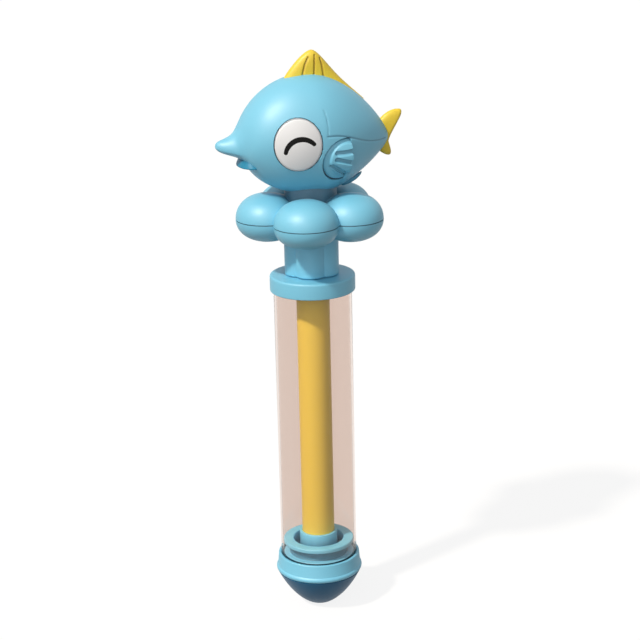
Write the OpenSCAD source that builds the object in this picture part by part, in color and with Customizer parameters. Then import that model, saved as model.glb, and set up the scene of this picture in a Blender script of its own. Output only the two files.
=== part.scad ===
// Pull-and-push water squirter with a fish on the plunger.
// The origin is the middle of the nozzle mouth and +Z runs up the barrel.
// The fish looks along -X, and its left side faces -Y.

/* [Barrel] */
// Outside diameter of the clear barrel
barrel_od = 40; // [36:0.5:44]
// Wall of the clear barrel
barrel_wall = 1.2; // [1:0.1:2]
// Length of the barrel tube
barrel_length = 156.5; // [120:0.5:190]

/* [Nose] */
// Diameter of the water hole
orifice_d = 5; // [3:0.5:7]
// Diameter of the flat round the water hole
tip_flat_d = 9; // [8:0.5:11]
// How far the dome stands out from the barrel
dome_reach = 2.1; // [1.4:0.1:2.6]
// Height of the nose dome
dome_height = 19.2; // [17:0.1:23]
// Length of the water hole
mouth_length = 4; // [3:0.1:6]
// Step from the water hole out to the inside of the dome
mouth_step = 3; // [2:0.1:4]
// How far the flat at the mouth eases into the side of the dome
mouth_ease = 2.2; // [1:0.1:4]
// Height of the nose ring
nose_ring_height = 9.8; // [9:0.1:12]
// How far the bead of the nose ring stands out from the barrel
bead_reach = 2.7; // [2.4:0.1:3.4]
// Radius of the bead of the nose ring
bead_round = 1.6; // [1.2:0.1:2]
// Step from the bead in to the foot of the nose ring's band
bead_step = 0.5; // [0.3:0.1:0.8]
// How far the rim of the nose ring stands out from the barrel
rim_reach = 1.4; // [0.9:0.1:1.8]
// Height of the spigot of the dome inside the nose ring
spigot_height = 2.6; // [2:0.1:4]
// Thickness of the flat gasket under the barrel
gasket_t = 1.2; // [0.8:0.1:2]
// Breadth of the flat gasket
gasket_breadth = 3.2; // [2.5:0.1:4]

/* [Collar cap] */
// How far the cap stands out from the barrel
cap_reach = 1.8; // [1.5:0.1:3]
// Height of the cap
cap_height = 8.4; // [7:0.1:12]
// Thickness of the top of the cap
cap_top = 3; // [2:0.1:4]
// Rounding of the top edge of the cap
cap_round = 0.8; // [0.3:0.1:1.2]

/* [Piston] */
// Height of the sealing flange
seal_flange_h = 5.6; // [5.2:0.1:8]
// Thickness of the guide flange
guide_flange_h = 2.3; // [1.5:0.1:4]
// Clear height between the two flanges
waist_h = 5.7; // [4:0.1:8]
// Radius of the waist between the flanges
waist_r = 15.2; // [14.2:0.1:16]
// Radius of the round pocket in the top of the piston
pocket_r = 13.2; // [12:0.1:13.6]
// Depth of the round pocket
pocket_depth = 5.6; // [3:0.1:7]
// Wall of the socket that holds the rod
socket_wall = 1.4; // [1:0.1:2]
// Height of the socket above the guide flange
socket_rise = 4.3; // [2:0.1:8]
// Thickness of the seal ring
seal_d = 2.8; // [2.4:0.1:3]

/* [Rod] */
// Diameter of the plunger rod
rod_d = 17; // [14:0.5:18]
// Wall of the plunger rod
rod_wall = 1.6; // [1.2:0.1:2.4]
// How far the rod stands in the piston
rod_seat_depth = 13.6; // [8:0.1:15]

/* [Splash grip] */
// Number of lobes round the grip
lobe_count = 5; // [5:1:7]
// Distance of a lobe from the axis
lobe_offset = 22; // [20:0.5:23]
// Radius of a lobe seen from above
lobe_r = 16.3; // [15.5:0.1:18]
// Height of a lobe above its seam
lobe_up = 12.8; // [12:0.1:15]
// Depth of a lobe below its seam
lobe_down = 11.2; // [9.5:0.1:13]
// Width of the seam groove
seam_w = 0.5; // [0.3:0.1:1]
// Depth of the seam groove
seam_depth = 0.5; // [0.3:0.1:1]
// Height of the seam above the collar cap
seam_rise = 30.3; // [24:0.1:36]
// Wall of the hollow lobes
grip_wall = 2.2; // [1.6:0.1:2.6]
// Radius of one petal of the stem
petal_r = 8.3; // [7.5:0.1:9]
// Distance of a petal from the axis
petal_offset = 5.8; // [5:0.1:6.5]
// Radius of the round neck
neck_r = 13.3; // [12:0.1:14.5]
// How far the neck stands in the fish, over the lowest point of the belly
neck_depth = 6.5; // [5:0.1:8]

/* [Handle post] */
// Diameter of the flange that the fish halves trap
post_flange_d = 20; // [17:0.5:22]
// Thickness of the flange
post_flange_t = 3; // [2:0.1:4]
// How far the post stands in the rod
post_depth = 22; // [15:0.5:30]

/* [Fish body] */
// Height of the fish's middle line above the seam of the grip
fish_rise = 38.2; // [36:0.1:42]
// Length in front of the axis
snout_reach = 47.4; // [44:0.1:52]
// Length behind the axis
rear_reach = 40.4; // [38:0.1:46]
// Height of the crown over the middle line
crown_rise = 33.7; // [31:0.1:37]
// Depth of the belly under the middle line
belly_drop = 26.4; // [25:0.1:28]
// Breadth of the fish
fish_breadth = 50; // [46:0.5:56]
// Wall of the fish halves
fish_wall = 2.4; // [2:0.1:3]
// Thickness of the floor between the neck and the flange of the handle post
seat_floor = 2.2; // [1.6:0.1:3]
// Radius of the lower lip
lip_r = 7; // [5:0.1:7.5]
// Thickness of the lower lip
lip_t = 2.6; // [2:0.1:4]
// How much the front of the lower lip leans forward
lip_lean = 1.2; // [0.2:0.1:1.6]
// Height of the top of the lower lip over the throat
lip_rise = 2.4; // [1:0.1:3]
// Distance of the lower lip's middle behind the throat
lip_back = 1.8; // [0.5:0.1:2.5]

/* [Fins] */
// Height of the back fin's top over the middle line
back_fin_rise = 45.1; // [43:0.1:50]
// Distance of the back fin's front behind the axis, below 0 in front of it
back_fin_front = -12.2; // [-14:0.1:-11]
// Distance of the back fin's end behind the axis
back_fin_end = 28.5; // [26:0.1:30]
// Height of the back fin's end over the middle line
back_fin_end_rise = 19.3; // [18:0.1:20.5]
// Thickness of the back fin
back_fin_t = 7; // [5:0.1:8]
// Number of grooves on each side of the back fin
ray_count = 3; // [1:1:3]
// Distance between grooves at the crown
ray_pitch = 5; // [4:0.1:6]
// Distance between grooves at their tips
ray_tip_pitch = 2.9; // [2:0.1:4]
// Distance of the middle groove behind the axis
ray_back = 2.7; // [1:0.1:4]
// Distance of the groove tips under the top of the fin
ray_stop = 3; // [2:0.1:5]
// Width of a groove
ray_w = 0.8; // [0.5:0.1:1.2]
// Depth of a groove
ray_depth = 0.6; // [0.3:0.1:1]
// Thickness of the tail fin
tail_t = 5; // [4:0.1:6]
// Reach of the tail's upper lobe behind the axis
tail_reach = 47.6; // [46:0.1:52]
// Height of the tail's upper lobe over the middle line
tail_rise = 13.2; // [11:0.1:15]
// Depth of the tail's lower lobe under the middle line
tail_drop = 9.6; // [8:0.1:11]
// How far the tail fin stands in the fish
tail_seat = 9.4; // [8:0.1:11]
// Thickness of the belly fin
belly_fin_t = 2.6; // [2:0.1:3.5]
// Length of the belly fin
belly_fin_length = 11.2; // [9:0.1:13]
// Height of the belly fin
belly_fin_height = 6.6; // [5.5:0.1:7.5]
// Distance of the belly fin behind the neck
belly_fin_back = 2.1; // [1.6:0.1:3]
// Height of the belly fin's lowest point over the belly's
belly_fin_rise = 2.4; // [2:0.1:3]
// Radius of the side fin
side_fin_r = 11.3; // [9:0.1:11.6]
// Distance from the side fin's middle to its straight edge
side_fin_cut = 2.4; // [1.5:0.1:4]
// How far the side fin's straight edge stands proud
side_fin_proud = 3.4; // [2.5:0.1:4.5]
// Depth of the recess that holds a side fin
side_fin_depth = 3.2; // [2.6:0.1:4]
// Radius of the vault of a side fin
side_fin_vault_r = 14; // [12:0.5:18]
// Angle at which the vault rises to the straight edge
side_fin_rise = 17; // [12:1:20]
// Radius of the plate round the vault
side_fin_plate_r = 27; // [24:0.5:32]
// Distance of a side fin behind the axis
side_fin_back = 14.9; // [14.4:0.1:17]
// Depth of a side fin under the middle line
side_fin_drop = 6.6; // [5:0.1:8]
// Number of slots in a side fin
gill_count = 3; // [2:1:3]
// Angle between slots
gill_fan = 21; // [14:1:24]
// Angle of the middle slot
gill_turn = 12; // [6:1:16]
// Distance in front of the side fin's middle where the lines of the slots meet
gill_apex = 15; // [13:0.5:17]
// Height of that point over the side fin's middle
gill_rise = 3.5; // [2:0.1:4]
// Distance of a slot's round end from that point
gill_from = 8; // [7:0.1:10]
// Width of a slot
gill_w = 1.5; // [1:0.1:2]
// Depth of a slot
gill_depth = 1.4; // [0.8:0.1:2]

/* [Eyes] */
// Breadth of an eye
eye_w = 23.3; // [20:0.1:24.5]
// Height of an eye
eye_h = 25.9; // [22:0.1:27]
// Distance of an eye in front of the axis
eye_ahead = 6.5; // [6:0.1:10]
// Height of an eye over the middle line
eye_rise = 2.6; // [1:0.1:5]
// Radius of the dome of an eye
eye_crown_r = 36; // [30:0.5:45]
// How far an eye stands proud
eye_proud = 0.8; // [0.3:0.1:1.5]
// Depth of the recess that holds an eye
eye_depth = 3.2; // [2.8:0.1:4]
// Radius of the smiling line
smile_r = 7.8; // [6:0.1:9]
// Width of the smiling line
smile_w = 2.6; // [1.5:0.1:3]
// Share by which the smiling line thins to its ends
smile_taper = 0.28; // [0:0.02:0.5]
// Depth of the smiling line
smile_depth = 0.4; // [0.2:0.1:0.8]
// Middle of the smiling line under and behind the middle of the eye
smile_middle = [4.1, 1.2];
// Angle where the smiling line starts
smile_from = 131; // [110:1:140]
// Angle that the smiling line runs through
smile_sweep = 129; // [100:1:160]

/* [Fits] */
// Gap round the rod in the cap, and over the cap when the plunger is in
run_gap = 0.3; // [0.2:0.05:0.5]
// Gap between the piston flanges and the barrel
piston_gap = 0.3; // [0.2:0.05:0.5]
// Gap between the seal ring and what it touches
seal_gap = 0.06; // [0.02:0.01:0.1]
// Gap between glued or pressed pieces
joint_gap = 0.05; // [0.02:0.01:0.1]
// Gap round the eyes and fins where they sit in the fish
inlay_gap = 0.35; // [0.2:0.05:0.5]

/* [Hidden] */
$fn = 64;
cut = 0.5;
barrel_r = barrel_od / 2;
bore_r = barrel_r - barrel_wall;
rod_r = rod_d / 2;
rod_bore_r = rod_r - rod_wall;

// Levels of the nose, from the mouth up
spigot_top = dome_height + spigot_height;
barrel_foot = spigot_top + gasket_t;
nose_rim = dome_height + nose_ring_height;
rim_r = barrel_r + rim_reach;
dome_r = barrel_r + dome_reach;

// Levels of the barrel's top
barrel_head = barrel_foot + barrel_length;
cap_face = barrel_head + cap_top;

// Levels of the piston when it is pushed in
piston_r = bore_r - piston_gap;
piston_foot = barrel_foot + run_gap;
waist_foot = piston_foot + seal_flange_h;
guide_foot = waist_foot + waist_h;
piston_face = guide_foot + guide_flange_h;
socket_top = piston_face + socket_rise;
rod_foot = socket_top - rod_seat_depth;
seal_r = bore_r - seal_gap - seal_d / 2;
seal_z = piston_foot + seal_flange_h / 2;

// Levels of the grip and the fish
stem_foot = cap_face + run_gap;
seam_z = cap_face + seam_rise;
fish_z = seam_z + fish_rise;
lobe_turn = 360 / lobe_count;
rod_head = seam_z;
neck_head = fish_z - belly_drop + neck_depth;
post_r = rod_bore_r - joint_gap;
post_foot = rod_head - post_depth;
flange_foot = neck_head + joint_gap + seat_floor;

blue = [0.56, 0.81, 0.89];
deep_blue = [0.16, 0.43, 0.58];
yellow = [0.95, 0.80, 0.36];
clear = [0.86, 0.80, 0.76, 0.4];
white = [0.93, 0.92, 0.91];
grey = [0.75, 0.76, 0.78];

// Curves: each outline of the fish is three Bezier arcs,
// in [distance along X, distance from the middle line]
tip = [-snout_reach, 0];
rear = [rear_reach, 0];
brow = tip + [11.2, 9];
crown = [0, crown_rise];
throat = tip + [15.3, -10.3];
belly = [3.5, -belly_drop];
cheek = tip + [12, 6.6];
flank = [4, fish_breadth / 2];

back_line = [
  [tip, tip + [0, 4], brow - [2.8, 6.7], brow],
  [brow, brow + [4.7, 11.2], crown - [19.6, 0], crown],
  [crown, crown + [20, 0], rear + [0, 7.1], rear]
];
belly_line = [
  [tip, tip - [0, 5.2], throat + [-1, 5.7], throat],
  [throat, throat + [0.3, -1.8], belly - [27.3, 0], belly],
  [belly, belly + [13, 0], rear - [0, 5.5], rear]
];
flank_line = [
  [tip, tip + [0, 3.6], cheek - [4.5, 2.7], cheek],
  [cheek, cheek + [9, 5.4], flank - [20, 0], flank],
  [flank, flank + [17, 0], rear + [0, 7.5], rear]
];

function bezier(p, t) =
  pow(1 - t, 3) * p[0] + 3 * t * pow(1 - t, 2) * p[1] + 3 * t * t * (1 - t) * p[2] + pow(t, 3) * p[3];
function along(line, u) = let (arc = min(floor(u), 2)) bezier(line[arc], u - arc);

// A point of the fish's skin: u runs from snout to tail through the arcs, and v from belly to back
function skin(u, v, grow = 0) =
  let (
    t = along(back_line, u),
    b = along(belly_line, u),
    half = norm(t - b) / 2,
    rise = (t - b) / (2 * half),
    mid = (t + b) / 2 + rise * (half + grow) * sin(v),
    w = along(flank_line, u)[1] + grow
  )
  [mid[0], -w * cos(v), mid[1]];

// The place u on the flank line that lies at x, by halving
function section_of(x, low = 0.5, high = 2.9, steps = 24) =
  let (m = (low + high) / 2)
  steps == 0 ? m :
  along(flank_line, m)[0] < x ? section_of(x, m, high, steps - 1) : section_of(x, low, m, steps - 1);
function tilt_of(u, z) =
  let (t = along(back_line, u)[1], b = along(belly_line, u)[1])
  asin((z - (t + b) / 2) / ((t - b) / 2));
function facing(u, v) =
  let (n = cross(skin(u + 0.01, v) - skin(u - 0.01, v), skin(u, v + 1) - skin(u, v - 1)))
  n / norm(n);

// Stations along the fish: closer at the two tips, where the skin turns fastest
tip_steps = 7;
head_steps = 9;
tail_steps = 10;
skin_stations = concat(
  [for (i = [1:tip_steps]) pow(i / tip_steps, 1.6)],
  [for (i = [1:head_steps]) 1 + i / head_steps],
  [for (i = [1:tail_steps - 1]) 3 - pow(1 - i / tail_steps, 1.5)]
);
hollow_from = 0.99;
hollow_to = 2.75;
hollow_stations = [for (u = skin_stations) if (u > hollow_from && u < hollow_to) u];
girth_steps = 14;

// Skins one ring of points after another, and closes the two ends or joins the last ring to the first
module loft(rings, endless = false) {
  n = len(rings[0]);
  count = len(rings);
  bands = endless ? count : count - 1;
  sides = [for (i = [0:bands - 1]) for (k = [0:n - 1])
    let (a = i * n + k, b = i * n + (k + 1) % n, c = (a + n) % (count * n), d = (b + n) % (count * n))
    each [[a, c, b], [b, c, d]]];
  ends = endless ? [] : [[for (k = [0:n - 1]) k], [for (k = [n - 1:-1:0]) (count - 1) * n + k]];
  polyhedron(points = [for (ring = rings) each ring], faces = concat(sides, ends));
}

// Turns round the fish that leave the middle plane clear: from its back down the left side and up the right
ridge = 1;
half_turns = [for (k = [0:girth_steps]) 90 - ridge - (180 - 2 * ridge) * k / girth_steps];
girth_turns = concat(half_turns, [for (v = half_turns) v - 180]);

module fish_loft(stations, grow) {
  translate([0, 0, fish_z]) loft([for (u = stations) [for (v = girth_turns) skin(u, v, grow)]]);
}

// Puts its children on the fish's left side, facing straight out.
// Their X points down and their Y to the tail
module on_side(ahead, rise) {
  u = section_of(-ahead);
  v = tilt_of(u, rise);
  p = skin(u, v);
  n = facing(u, v);
  translate(p + [0, 0, fish_z]) rotate([0, acos(n[2]), atan2(n[1], n[0])]) children();
}

module right_side() {
  mirror([0, 1, 0]) children();
}

module tube(r_out, r_in, z0, z1) {
  translate([0, 0, z0]) difference() {
    cylinder(r = r_out, h = z1 - z0);
    translate([0, 0, -cut]) cylinder(r = r_in, h = z1 - z0 + 2 * cut);
  }
}

module disc(r, z0, z1) {
  translate([0, 0, z0]) cylinder(r = r, h = z1 - z0);
}

// Barrel
module barrel_tube() {
  color(clear) tube(barrel_r, bore_r, barrel_foot, barrel_head);
}

module collar_cap() {
  cap_r = barrel_r + cap_reach;
  color(blue) difference() {
    rotate_extrude() {
      translate([0, cap_face - cap_height]) square([cap_r, cap_height - cap_round]);
      translate([0, cap_face - 2 * cap_round]) square([cap_r - cap_round, 2 * cap_round]);
      translate([cap_r - cap_round, cap_face - cap_round]) circle(cap_round);
    }
    disc(barrel_r + joint_gap, cap_face - cap_height - cut, barrel_head);
    disc(rod_r + run_gap, barrel_head - cut, cap_face + cut);
  }
}

// The outline of the nose ring is a bead, and a band that leans in from a step over the bead to the rim
module nose_ring() {
  bead = [barrel_r + bead_reach - bead_round, dome_height + bead_round];
  band_foot_r = barrel_r + bead_reach - bead_step;
  color(blue) difference() {
    rotate_extrude() {
      polygon([
        [0, dome_height], [bead[0], dome_height], [bead[0], bead[1]], [band_foot_r, bead[1]],
        [rim_r, nose_rim], [0, nose_rim]
      ]);
      translate(bead) circle(bead_round);
    }
    disc(barrel_r + joint_gap, dome_height - cut, nose_rim + cut);
  }
}

// The dome is a cone that rounds into the flat at its mouth
tip_flat_r = tip_flat_d / 2;
dome_lean = [6.6, 14];
dome_rim = [dome_r, dome_height];
dome_arc = [[tip_flat_r, 0], [tip_flat_r + mouth_ease, 0], dome_rim - dome_lean, dome_rim];
dome_steps = 12;
gasket_bore_r = barrel_r - gasket_breadth;
orifice_r = orifice_d / 2;

module nozzle_dome() {
  color(deep_blue) difference() {
    union() {
      rotate_extrude() polygon(concat(
        [for (i = [0:dome_steps]) bezier(dome_arc, i / dome_steps)],
        [[0, dome_height], [0, 0]]
      ));
      disc(barrel_r - joint_gap, dome_height, spigot_top);
    }
    translate([0, 0, mouth_length])
      cylinder(r1 = orifice_r + mouth_step, r2 = gasket_bore_r, h = spigot_top - mouth_length);
    disc(gasket_bore_r, spigot_top - cut, spigot_top + cut);
    disc(orifice_r, -cut, mouth_length + cut);
  }
}

module nose_gasket() {
  color(grey) tube(barrel_r - joint_gap, gasket_bore_r, spigot_top, barrel_foot);
}

// Plunger
module plunger_rod() {
  color(yellow) tube(rod_r, rod_bore_r, rod_foot, rod_head);
}

module piston() {
  socket_r = rod_r + socket_wall;
  groove_half = seal_d / 2 + seal_gap;
  color(blue) difference() {
    union() {
      disc(piston_r, piston_foot, waist_foot);
      disc(waist_r, waist_foot, guide_foot);
      disc(piston_r, guide_foot, piston_face);
      disc(socket_r, piston_face - pocket_depth, socket_top);
    }
    tube(pocket_r, socket_r, piston_face - pocket_depth, piston_face + cut);
    disc(rod_r + joint_gap, rod_foot, socket_top + cut);
    tube(bore_r, seal_r - groove_half, seal_z - groove_half, seal_z + groove_half);
  }
}

module piston_seal() {
  color(deep_blue) translate([0, 0, seal_z]) rotate_extrude() translate([seal_r, 0]) circle(seal_d / 2);
}

// Grip: each half is a shell, skinned ring by ring round the axis
lobe_steps = 12;
round_steps = lobe_steps * lobe_count;
turns = [for (k = [0:round_steps - 1]) 180 + 360 * k / round_steps];
function off_lobe(a) = let (m = (a - 180) % lobe_turn) min(m, lobe_turn - m);
// Distance from the axis to the far side of a circle of radius r that stands off the axis
function rim_at(a, offset, r) =
  offset * cos(off_lobe(a)) + sqrt(max(0, r * r - pow(offset * sin(off_lobe(a)), 2)));
// Height of a lobe at a distance from the axis: its plan is a circle of radius r, its side a full oval
lobe_fullness = 2.3;
lobe_crown = 2.1;
function lobe_height(a, away, r, tall) =
  let (d = norm([away * cos(off_lobe(a)) - lobe_offset, away * sin(off_lobe(a))]))
  tall * pow(max(0, 1 - pow(d / r, lobe_fullness)), 1 / lobe_crown);
function ring_at(radii, heights) =
  [for (k = [0:round_steps - 1]) [radii[k] * cos(turns[k]), radii[k] * sin(turns[k]), heights[k]]];
function flat_ring(radii, z) = ring_at(radii, [for (a = turns) z]);
function circle_of(r) = [for (a = turns) r];
function lobe_rims(r) = [for (a = turns) rim_at(a, lobe_offset, r)];
petal_rims = [for (a = turns) rim_at(a, petal_offset, petal_r)];

// Rings over the lobes from their rim to an inner outline, closer together at the rim
dome_bands = 9;
function dome_rings(inner, r, tall, low) = let (rims = lobe_rims(r)) [for (i = [1:dome_bands])
  let (
    share = 1 - cos(90 * i / dome_bands),
    radii = [for (k = [0:round_steps - 1]) rims[k] + (inner[k] - rims[k]) * share]
  )
  ring_at(radii, [for (k = [0:round_steps - 1]) max(low, lobe_height(turns[k], radii[k], r, tall))])];
function backwards(list) = [for (i = [len(list) - 1:-1:0]) list[i]];

module grip_half(inner, tall, end) {
  bore = circle_of(post_r - cut);
  hub = circle_of(rod_r + joint_gap + grip_wall);
  groove = lobe_rims(lobe_r - seam_depth);
  cavity_r = lobe_r - grip_wall;
  loft(endless = true, rings = concat(
    [flat_ring(groove, 0), flat_ring(groove, seam_w / 2), flat_ring(lobe_rims(lobe_r), seam_w / 2)],
    dome_rings(inner, lobe_r, tall, seam_w / 2),
    [flat_ring(inner, end), flat_ring(bore, end), flat_ring(bore, 0), flat_ring(hub, 0)],
    backwards(dome_rings(hub, cavity_r, tall - grip_wall, 0)),
    [flat_ring(lobe_rims(cavity_r), 0)]
  ));
}

module splash_lower_shell() {
  color(blue) difference() {
    translate([0, 0, seam_z]) mirror([0, 0, 1]) grip_half(petal_rims, lobe_down, seam_z - stem_foot);
    disc(rod_r + joint_gap, stem_foot - cut, seam_z + cut);
  }
}

module splash_upper_shell() {
  color(blue) difference() {
    translate([0, 0, seam_z]) grip_half(circle_of(neck_r), lobe_up, neck_head - seam_z);
    disc(post_r + joint_gap, seam_z - cut, neck_head + cut);
  }
}

module handle_post() {
  color(grey) union() {
    disc(post_r, post_foot, flange_foot + post_flange_t);
    disc(post_flange_d / 2, flange_foot, flange_foot + post_flange_t);
  }
}

// Fins: each is a plate with a rounded edge. Its outline is a closed chain of Bezier arcs,
// three points to an arc, in shares of the box from its low front corner to its high rear corner
fin_steps = 7;
function in_box(low, high, shares) =
  [for (q = shares) [for (i = [0, 1]) low[i] + q[i] * (high[i] - low[i])]];
function chain_of(points) =
  [for (i = [0:3:len(points) - 1]) [for (k = [0:3]) points[(i + k) % len(points)]]];
function outline_of(arcs) = [for (arc = arcs) for (i = [0:fin_steps - 1]) bezier(arc, i / fin_steps)];

back_fin_low = [back_fin_front, back_fin_end_rise];
back_fin_high = [back_fin_end, back_fin_rise];
back_fin_arcs = chain_of(in_box(back_fin_low, back_fin_high, [
  [0, 0.47], [0.07, 0.65], [0.25, 0.99],
  [0.35, 1], [0.42, 1], [0.53, 0.74],
  [0.65, 0.53], [0.76, 0.34], [0.88, 0.18],
  [1, 0], [0.79, 0.14], [0.35, 0.39]
]));
back_fin_heart = in_box(back_fin_low, back_fin_high, [[0.42, 0.52]])[0];

tail_low = [rear_reach - tail_seat, -tail_drop];
tail_high = [tail_reach, tail_rise];
tail_arcs = chain_of(in_box(tail_low, tail_high, [
  [0, 0.46], [0.18, 0.73], [0.52, 1.04],
  [0.93, 1], [1.02, 1], [1.01, 0.9],
  [0.94, 0.82], [0.82, 0.65], [0.62, 0.44],
  [0.58, 0.31], [0.6, 0.2], [0.7, 0.07],
  [0.63, 0], [0.54, -0.07], [0.03, 0.16]
]));
tail_heart = in_box(tail_low, tail_high, [[0.39, 0.4]])[0];

belly_fin_low = [neck_r + belly_fin_back, belly_fin_rise - belly_drop];
belly_fin_high = belly_fin_low + [belly_fin_length, belly_fin_height];
belly_fin_arcs = chain_of(in_box(belly_fin_low, belly_fin_high, [
  [0, 0.52], [0.18, 0.64], [0.29, 0.73],
  [0.43, 0.67], [0.48, 0.46], [0.79, 0.71],
  [1, 1], [1.02, 0.67], [0.54, 0.09],
  [0.14, 0], [0.04, -0.03], [-0.04, 0.3]
]));
belly_fin_heart = in_box(belly_fin_low, belly_fin_high, [[0.34, 0.39]])[0];

edge_steps = 6;
edge_sweep = 72;
edge_share = 0.12;
module plate_fin(arcs, heart, thick) {
  outline = outline_of(arcs);
  n = len(outline);
  leans = [for (j = [0:edge_steps]) edge_sweep * (2 * j / edge_steps - 1)];
  rings = [for (w = leans) let (s = 1 - edge_share * (1 - cos(w))) [for (p = outline)
    let (q = heart + (p - heart) * s) [q[0], thick / 2 * sin(w) / sin(edge_sweep), q[1] + fish_z]]];
  middles = [for (side = [-1, 1]) [heart[0], side * thick / 2, heart[1] + fish_z]];
  points = concat([for (ring = rings) each ring], middles);
  polyhedron(points = points, faces = concat(
    [for (j = [0:edge_steps - 1]) for (k = [0:n - 1])
      each let (a = j * n + k, b = j * n + (k + 1) % n) [[a, a + n, b], [b, a + n, b + n]]],
    [for (k = [0:n - 1]) [len(points) - 2, k, (k + 1) % n]],
    [for (k = [0:n - 1]) [len(points) - 1, edge_steps * n + (k + 1) % n, edge_steps * n + k]]
  ));
}

// The slot that a fin stands in, through the wall of both fish halves
module fin_slot(arcs, thick) {
  translate([0, 0, fish_z]) rotate([90, 0, 0])
    linear_extrude(thick + 2 * joint_gap, center = true) polygon(outline_of(arcs));
}

// The grooves on the two sides of the back fin, which draw together from the crown to their round tips
module fin_rays() {
  for (k = [0:ray_count - 1]) let (
    from_middle = k - (ray_count - 1) / 2,
    foot = [ray_back + from_middle * ray_pitch, crown_rise - back_fin_t / 2],
    end = [ray_back + from_middle * ray_tip_pitch, back_fin_rise - ray_stop - abs(from_middle) * ray_w],
    lean = atan2(end[0] - foot[0], end[1] - foot[1])
  )
    for (side = [-1, 1])
    translate([foot[0], side * back_fin_t / 2, fish_z + foot[1]]) rotate([0, lean, 0]) {
      translate([-ray_w / 2, -ray_depth, 0]) cube([ray_w, 2 * ray_depth, norm(end - foot)]);
      translate([0, 0, norm(end - foot)]) rotate([90, 0, 0])
        cylinder(r = ray_w / 2, h = 2 * ray_depth, center = true);
    }
}

module back_fin() {
  color(yellow) difference() {
    plate_fin(back_fin_arcs, back_fin_heart, back_fin_t);
    fin_rays();
  }
}

module tail_fin() {
  color(yellow) plate_fin(tail_arcs, tail_heart, tail_t);
}

module belly_fin() {
  color(blue) plate_fin(belly_fin_arcs, belly_fin_heart, belly_fin_t);
}

// Eyes
eye_steps = 48;
module eye_plan(grow) {
  polygon([for (i = [0:eye_steps - 1]) let (a = 360 * i / eye_steps)
    [(eye_h / 2 + grow) * cos(a), (eye_w / 2 + grow) * sin(a)]]);
}

module eye_place() {
  on_side(eye_ahead, eye_rise) children();
}

// The outline of the smiling line: along one side, round the end, back along the other side
// and round the start
smile_steps = 18;
smile_end_steps = 6;
function smile_half(t) = smile_w / 2 * (1 - smile_taper * pow(2 * t - 1, 2));
function smile_point(t, off) =
  let (a = smile_from + smile_sweep * t) smile_middle + (smile_r + off) * [cos(a), sin(a)];
function smile_side(side) = [for (i = [0:smile_steps])
  let (t = side > 0 ? i / smile_steps : 1 - i / smile_steps) smile_point(t, side * smile_half(t))];
function smile_tip(t, turn) = [for (i = [1:smile_end_steps - 1])
  let (a = turn + 180 * i / smile_end_steps) smile_point(t, 0) + smile_half(t) * [cos(a), sin(a)]];
smile_outline = concat(
  smile_side(1), smile_tip(1, smile_from + smile_sweep), smile_side(-1), smile_tip(0, smile_from + 180)
);

module smile_line() {
  difference() {
    translate([0, 0, -eye_depth / 2]) linear_extrude(2 * eye_depth) polygon(smile_outline);
    translate([0, 0, eye_proud - eye_crown_r]) sphere(eye_crown_r - smile_depth);
  }
}

module eye() {
  color(white) eye_place() difference() {
    intersection() {
      translate([0, 0, -eye_depth]) linear_extrude(eye_depth + eye_proud) eye_plan(0);
      translate([0, 0, eye_proud - eye_crown_r]) sphere(eye_crown_r);
    }
    smile_line();
  }
}

module left_eye() {
  eye();
}

module right_eye() {
  right_side() eye();
}

// Side fins
module side_fin_plan(grow) {
  intersection() {
    circle(side_fin_r + grow);
    translate([-2 * side_fin_r, -2 * side_fin_r])
      square([4 * side_fin_r, 2 * side_fin_r + side_fin_cut + grow]);
  }
}

module side_fin_place() {
  on_side(-side_fin_back, -side_fin_drop) children();
}

// A slot runs out to the straight edge from a round end, on a line through the apex
module gill_slots() {
  for (k = [0:gill_count - 1])
    translate([-gill_rise, -gill_apex, side_fin_proud - gill_depth - side_fin_depth])
    rotate(-gill_turn - (k - (gill_count - 1) / 2) * gill_fan) {
      translate([-gill_w / 2, gill_from, 0]) cube([gill_w, gill_apex + side_fin_r, 2 * side_fin_depth]);
      translate([0, gill_from, 0]) cylinder(r = gill_w / 2, h = 2 * side_fin_depth);
    }
}

// A side fin is a vault that rises to its straight edge, on a plate that follows the flank
module side_fin_vault(sink) {
  translate([0, side_fin_cut, side_fin_proud - sink]) rotate([90 + side_fin_rise, 0, 0])
    translate([0, -side_fin_vault_r, 0]) cylinder(r = side_fin_vault_r, h = 4 * side_fin_r, center = true);
}

module side_fin() {
  color(blue) side_fin_place() difference() {
    intersection() {
      translate([0, 0, -side_fin_depth]) linear_extrude(side_fin_depth + side_fin_proud) side_fin_plan(0);
      union() {
        translate([0, 0, -side_fin_plate_r]) sphere(side_fin_plate_r);
        side_fin_vault(0);
      }
    }
    difference() {
      gill_slots();
      side_fin_vault(gill_depth);
    }
  }
}

module left_side_fin() {
  side_fin();
}

module right_side_fin() {
  right_side() side_fin();
}

// Fish halves: a hollow shell with seats for the eyes, the side fins and the neck
module neck_seat(grow, roof) {
  disc(neck_r + grow, fish_z - 2 * belly_drop, neck_head + joint_gap + roof);
}

module lower_lip() {
  translate([throat[0] + lip_back, 0, fish_z + throat[1] + lip_rise - lip_t])
    cylinder(r1 = lip_r - lip_lean, r2 = lip_r, h = lip_t);
}

module fish_cavity() {
  difference() {
    fish_loft(hollow_stations, -fish_wall);
    eye_place() translate([0, 0, -eye_depth - fish_wall])
      linear_extrude(2 * eye_depth + fish_wall) eye_plan(fish_wall);
    side_fin_place() translate([0, 0, -side_fin_depth - fish_wall])
      linear_extrude(2 * side_fin_depth + fish_wall) side_fin_plan(fish_wall);
    neck_seat(fish_wall, seat_floor);
  }
}

module right_of_middle() {
  reach = 2 * snout_reach;
  translate([-reach, 0, fish_z - reach]) cube([2 * reach, reach, 2 * reach]);
}

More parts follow.
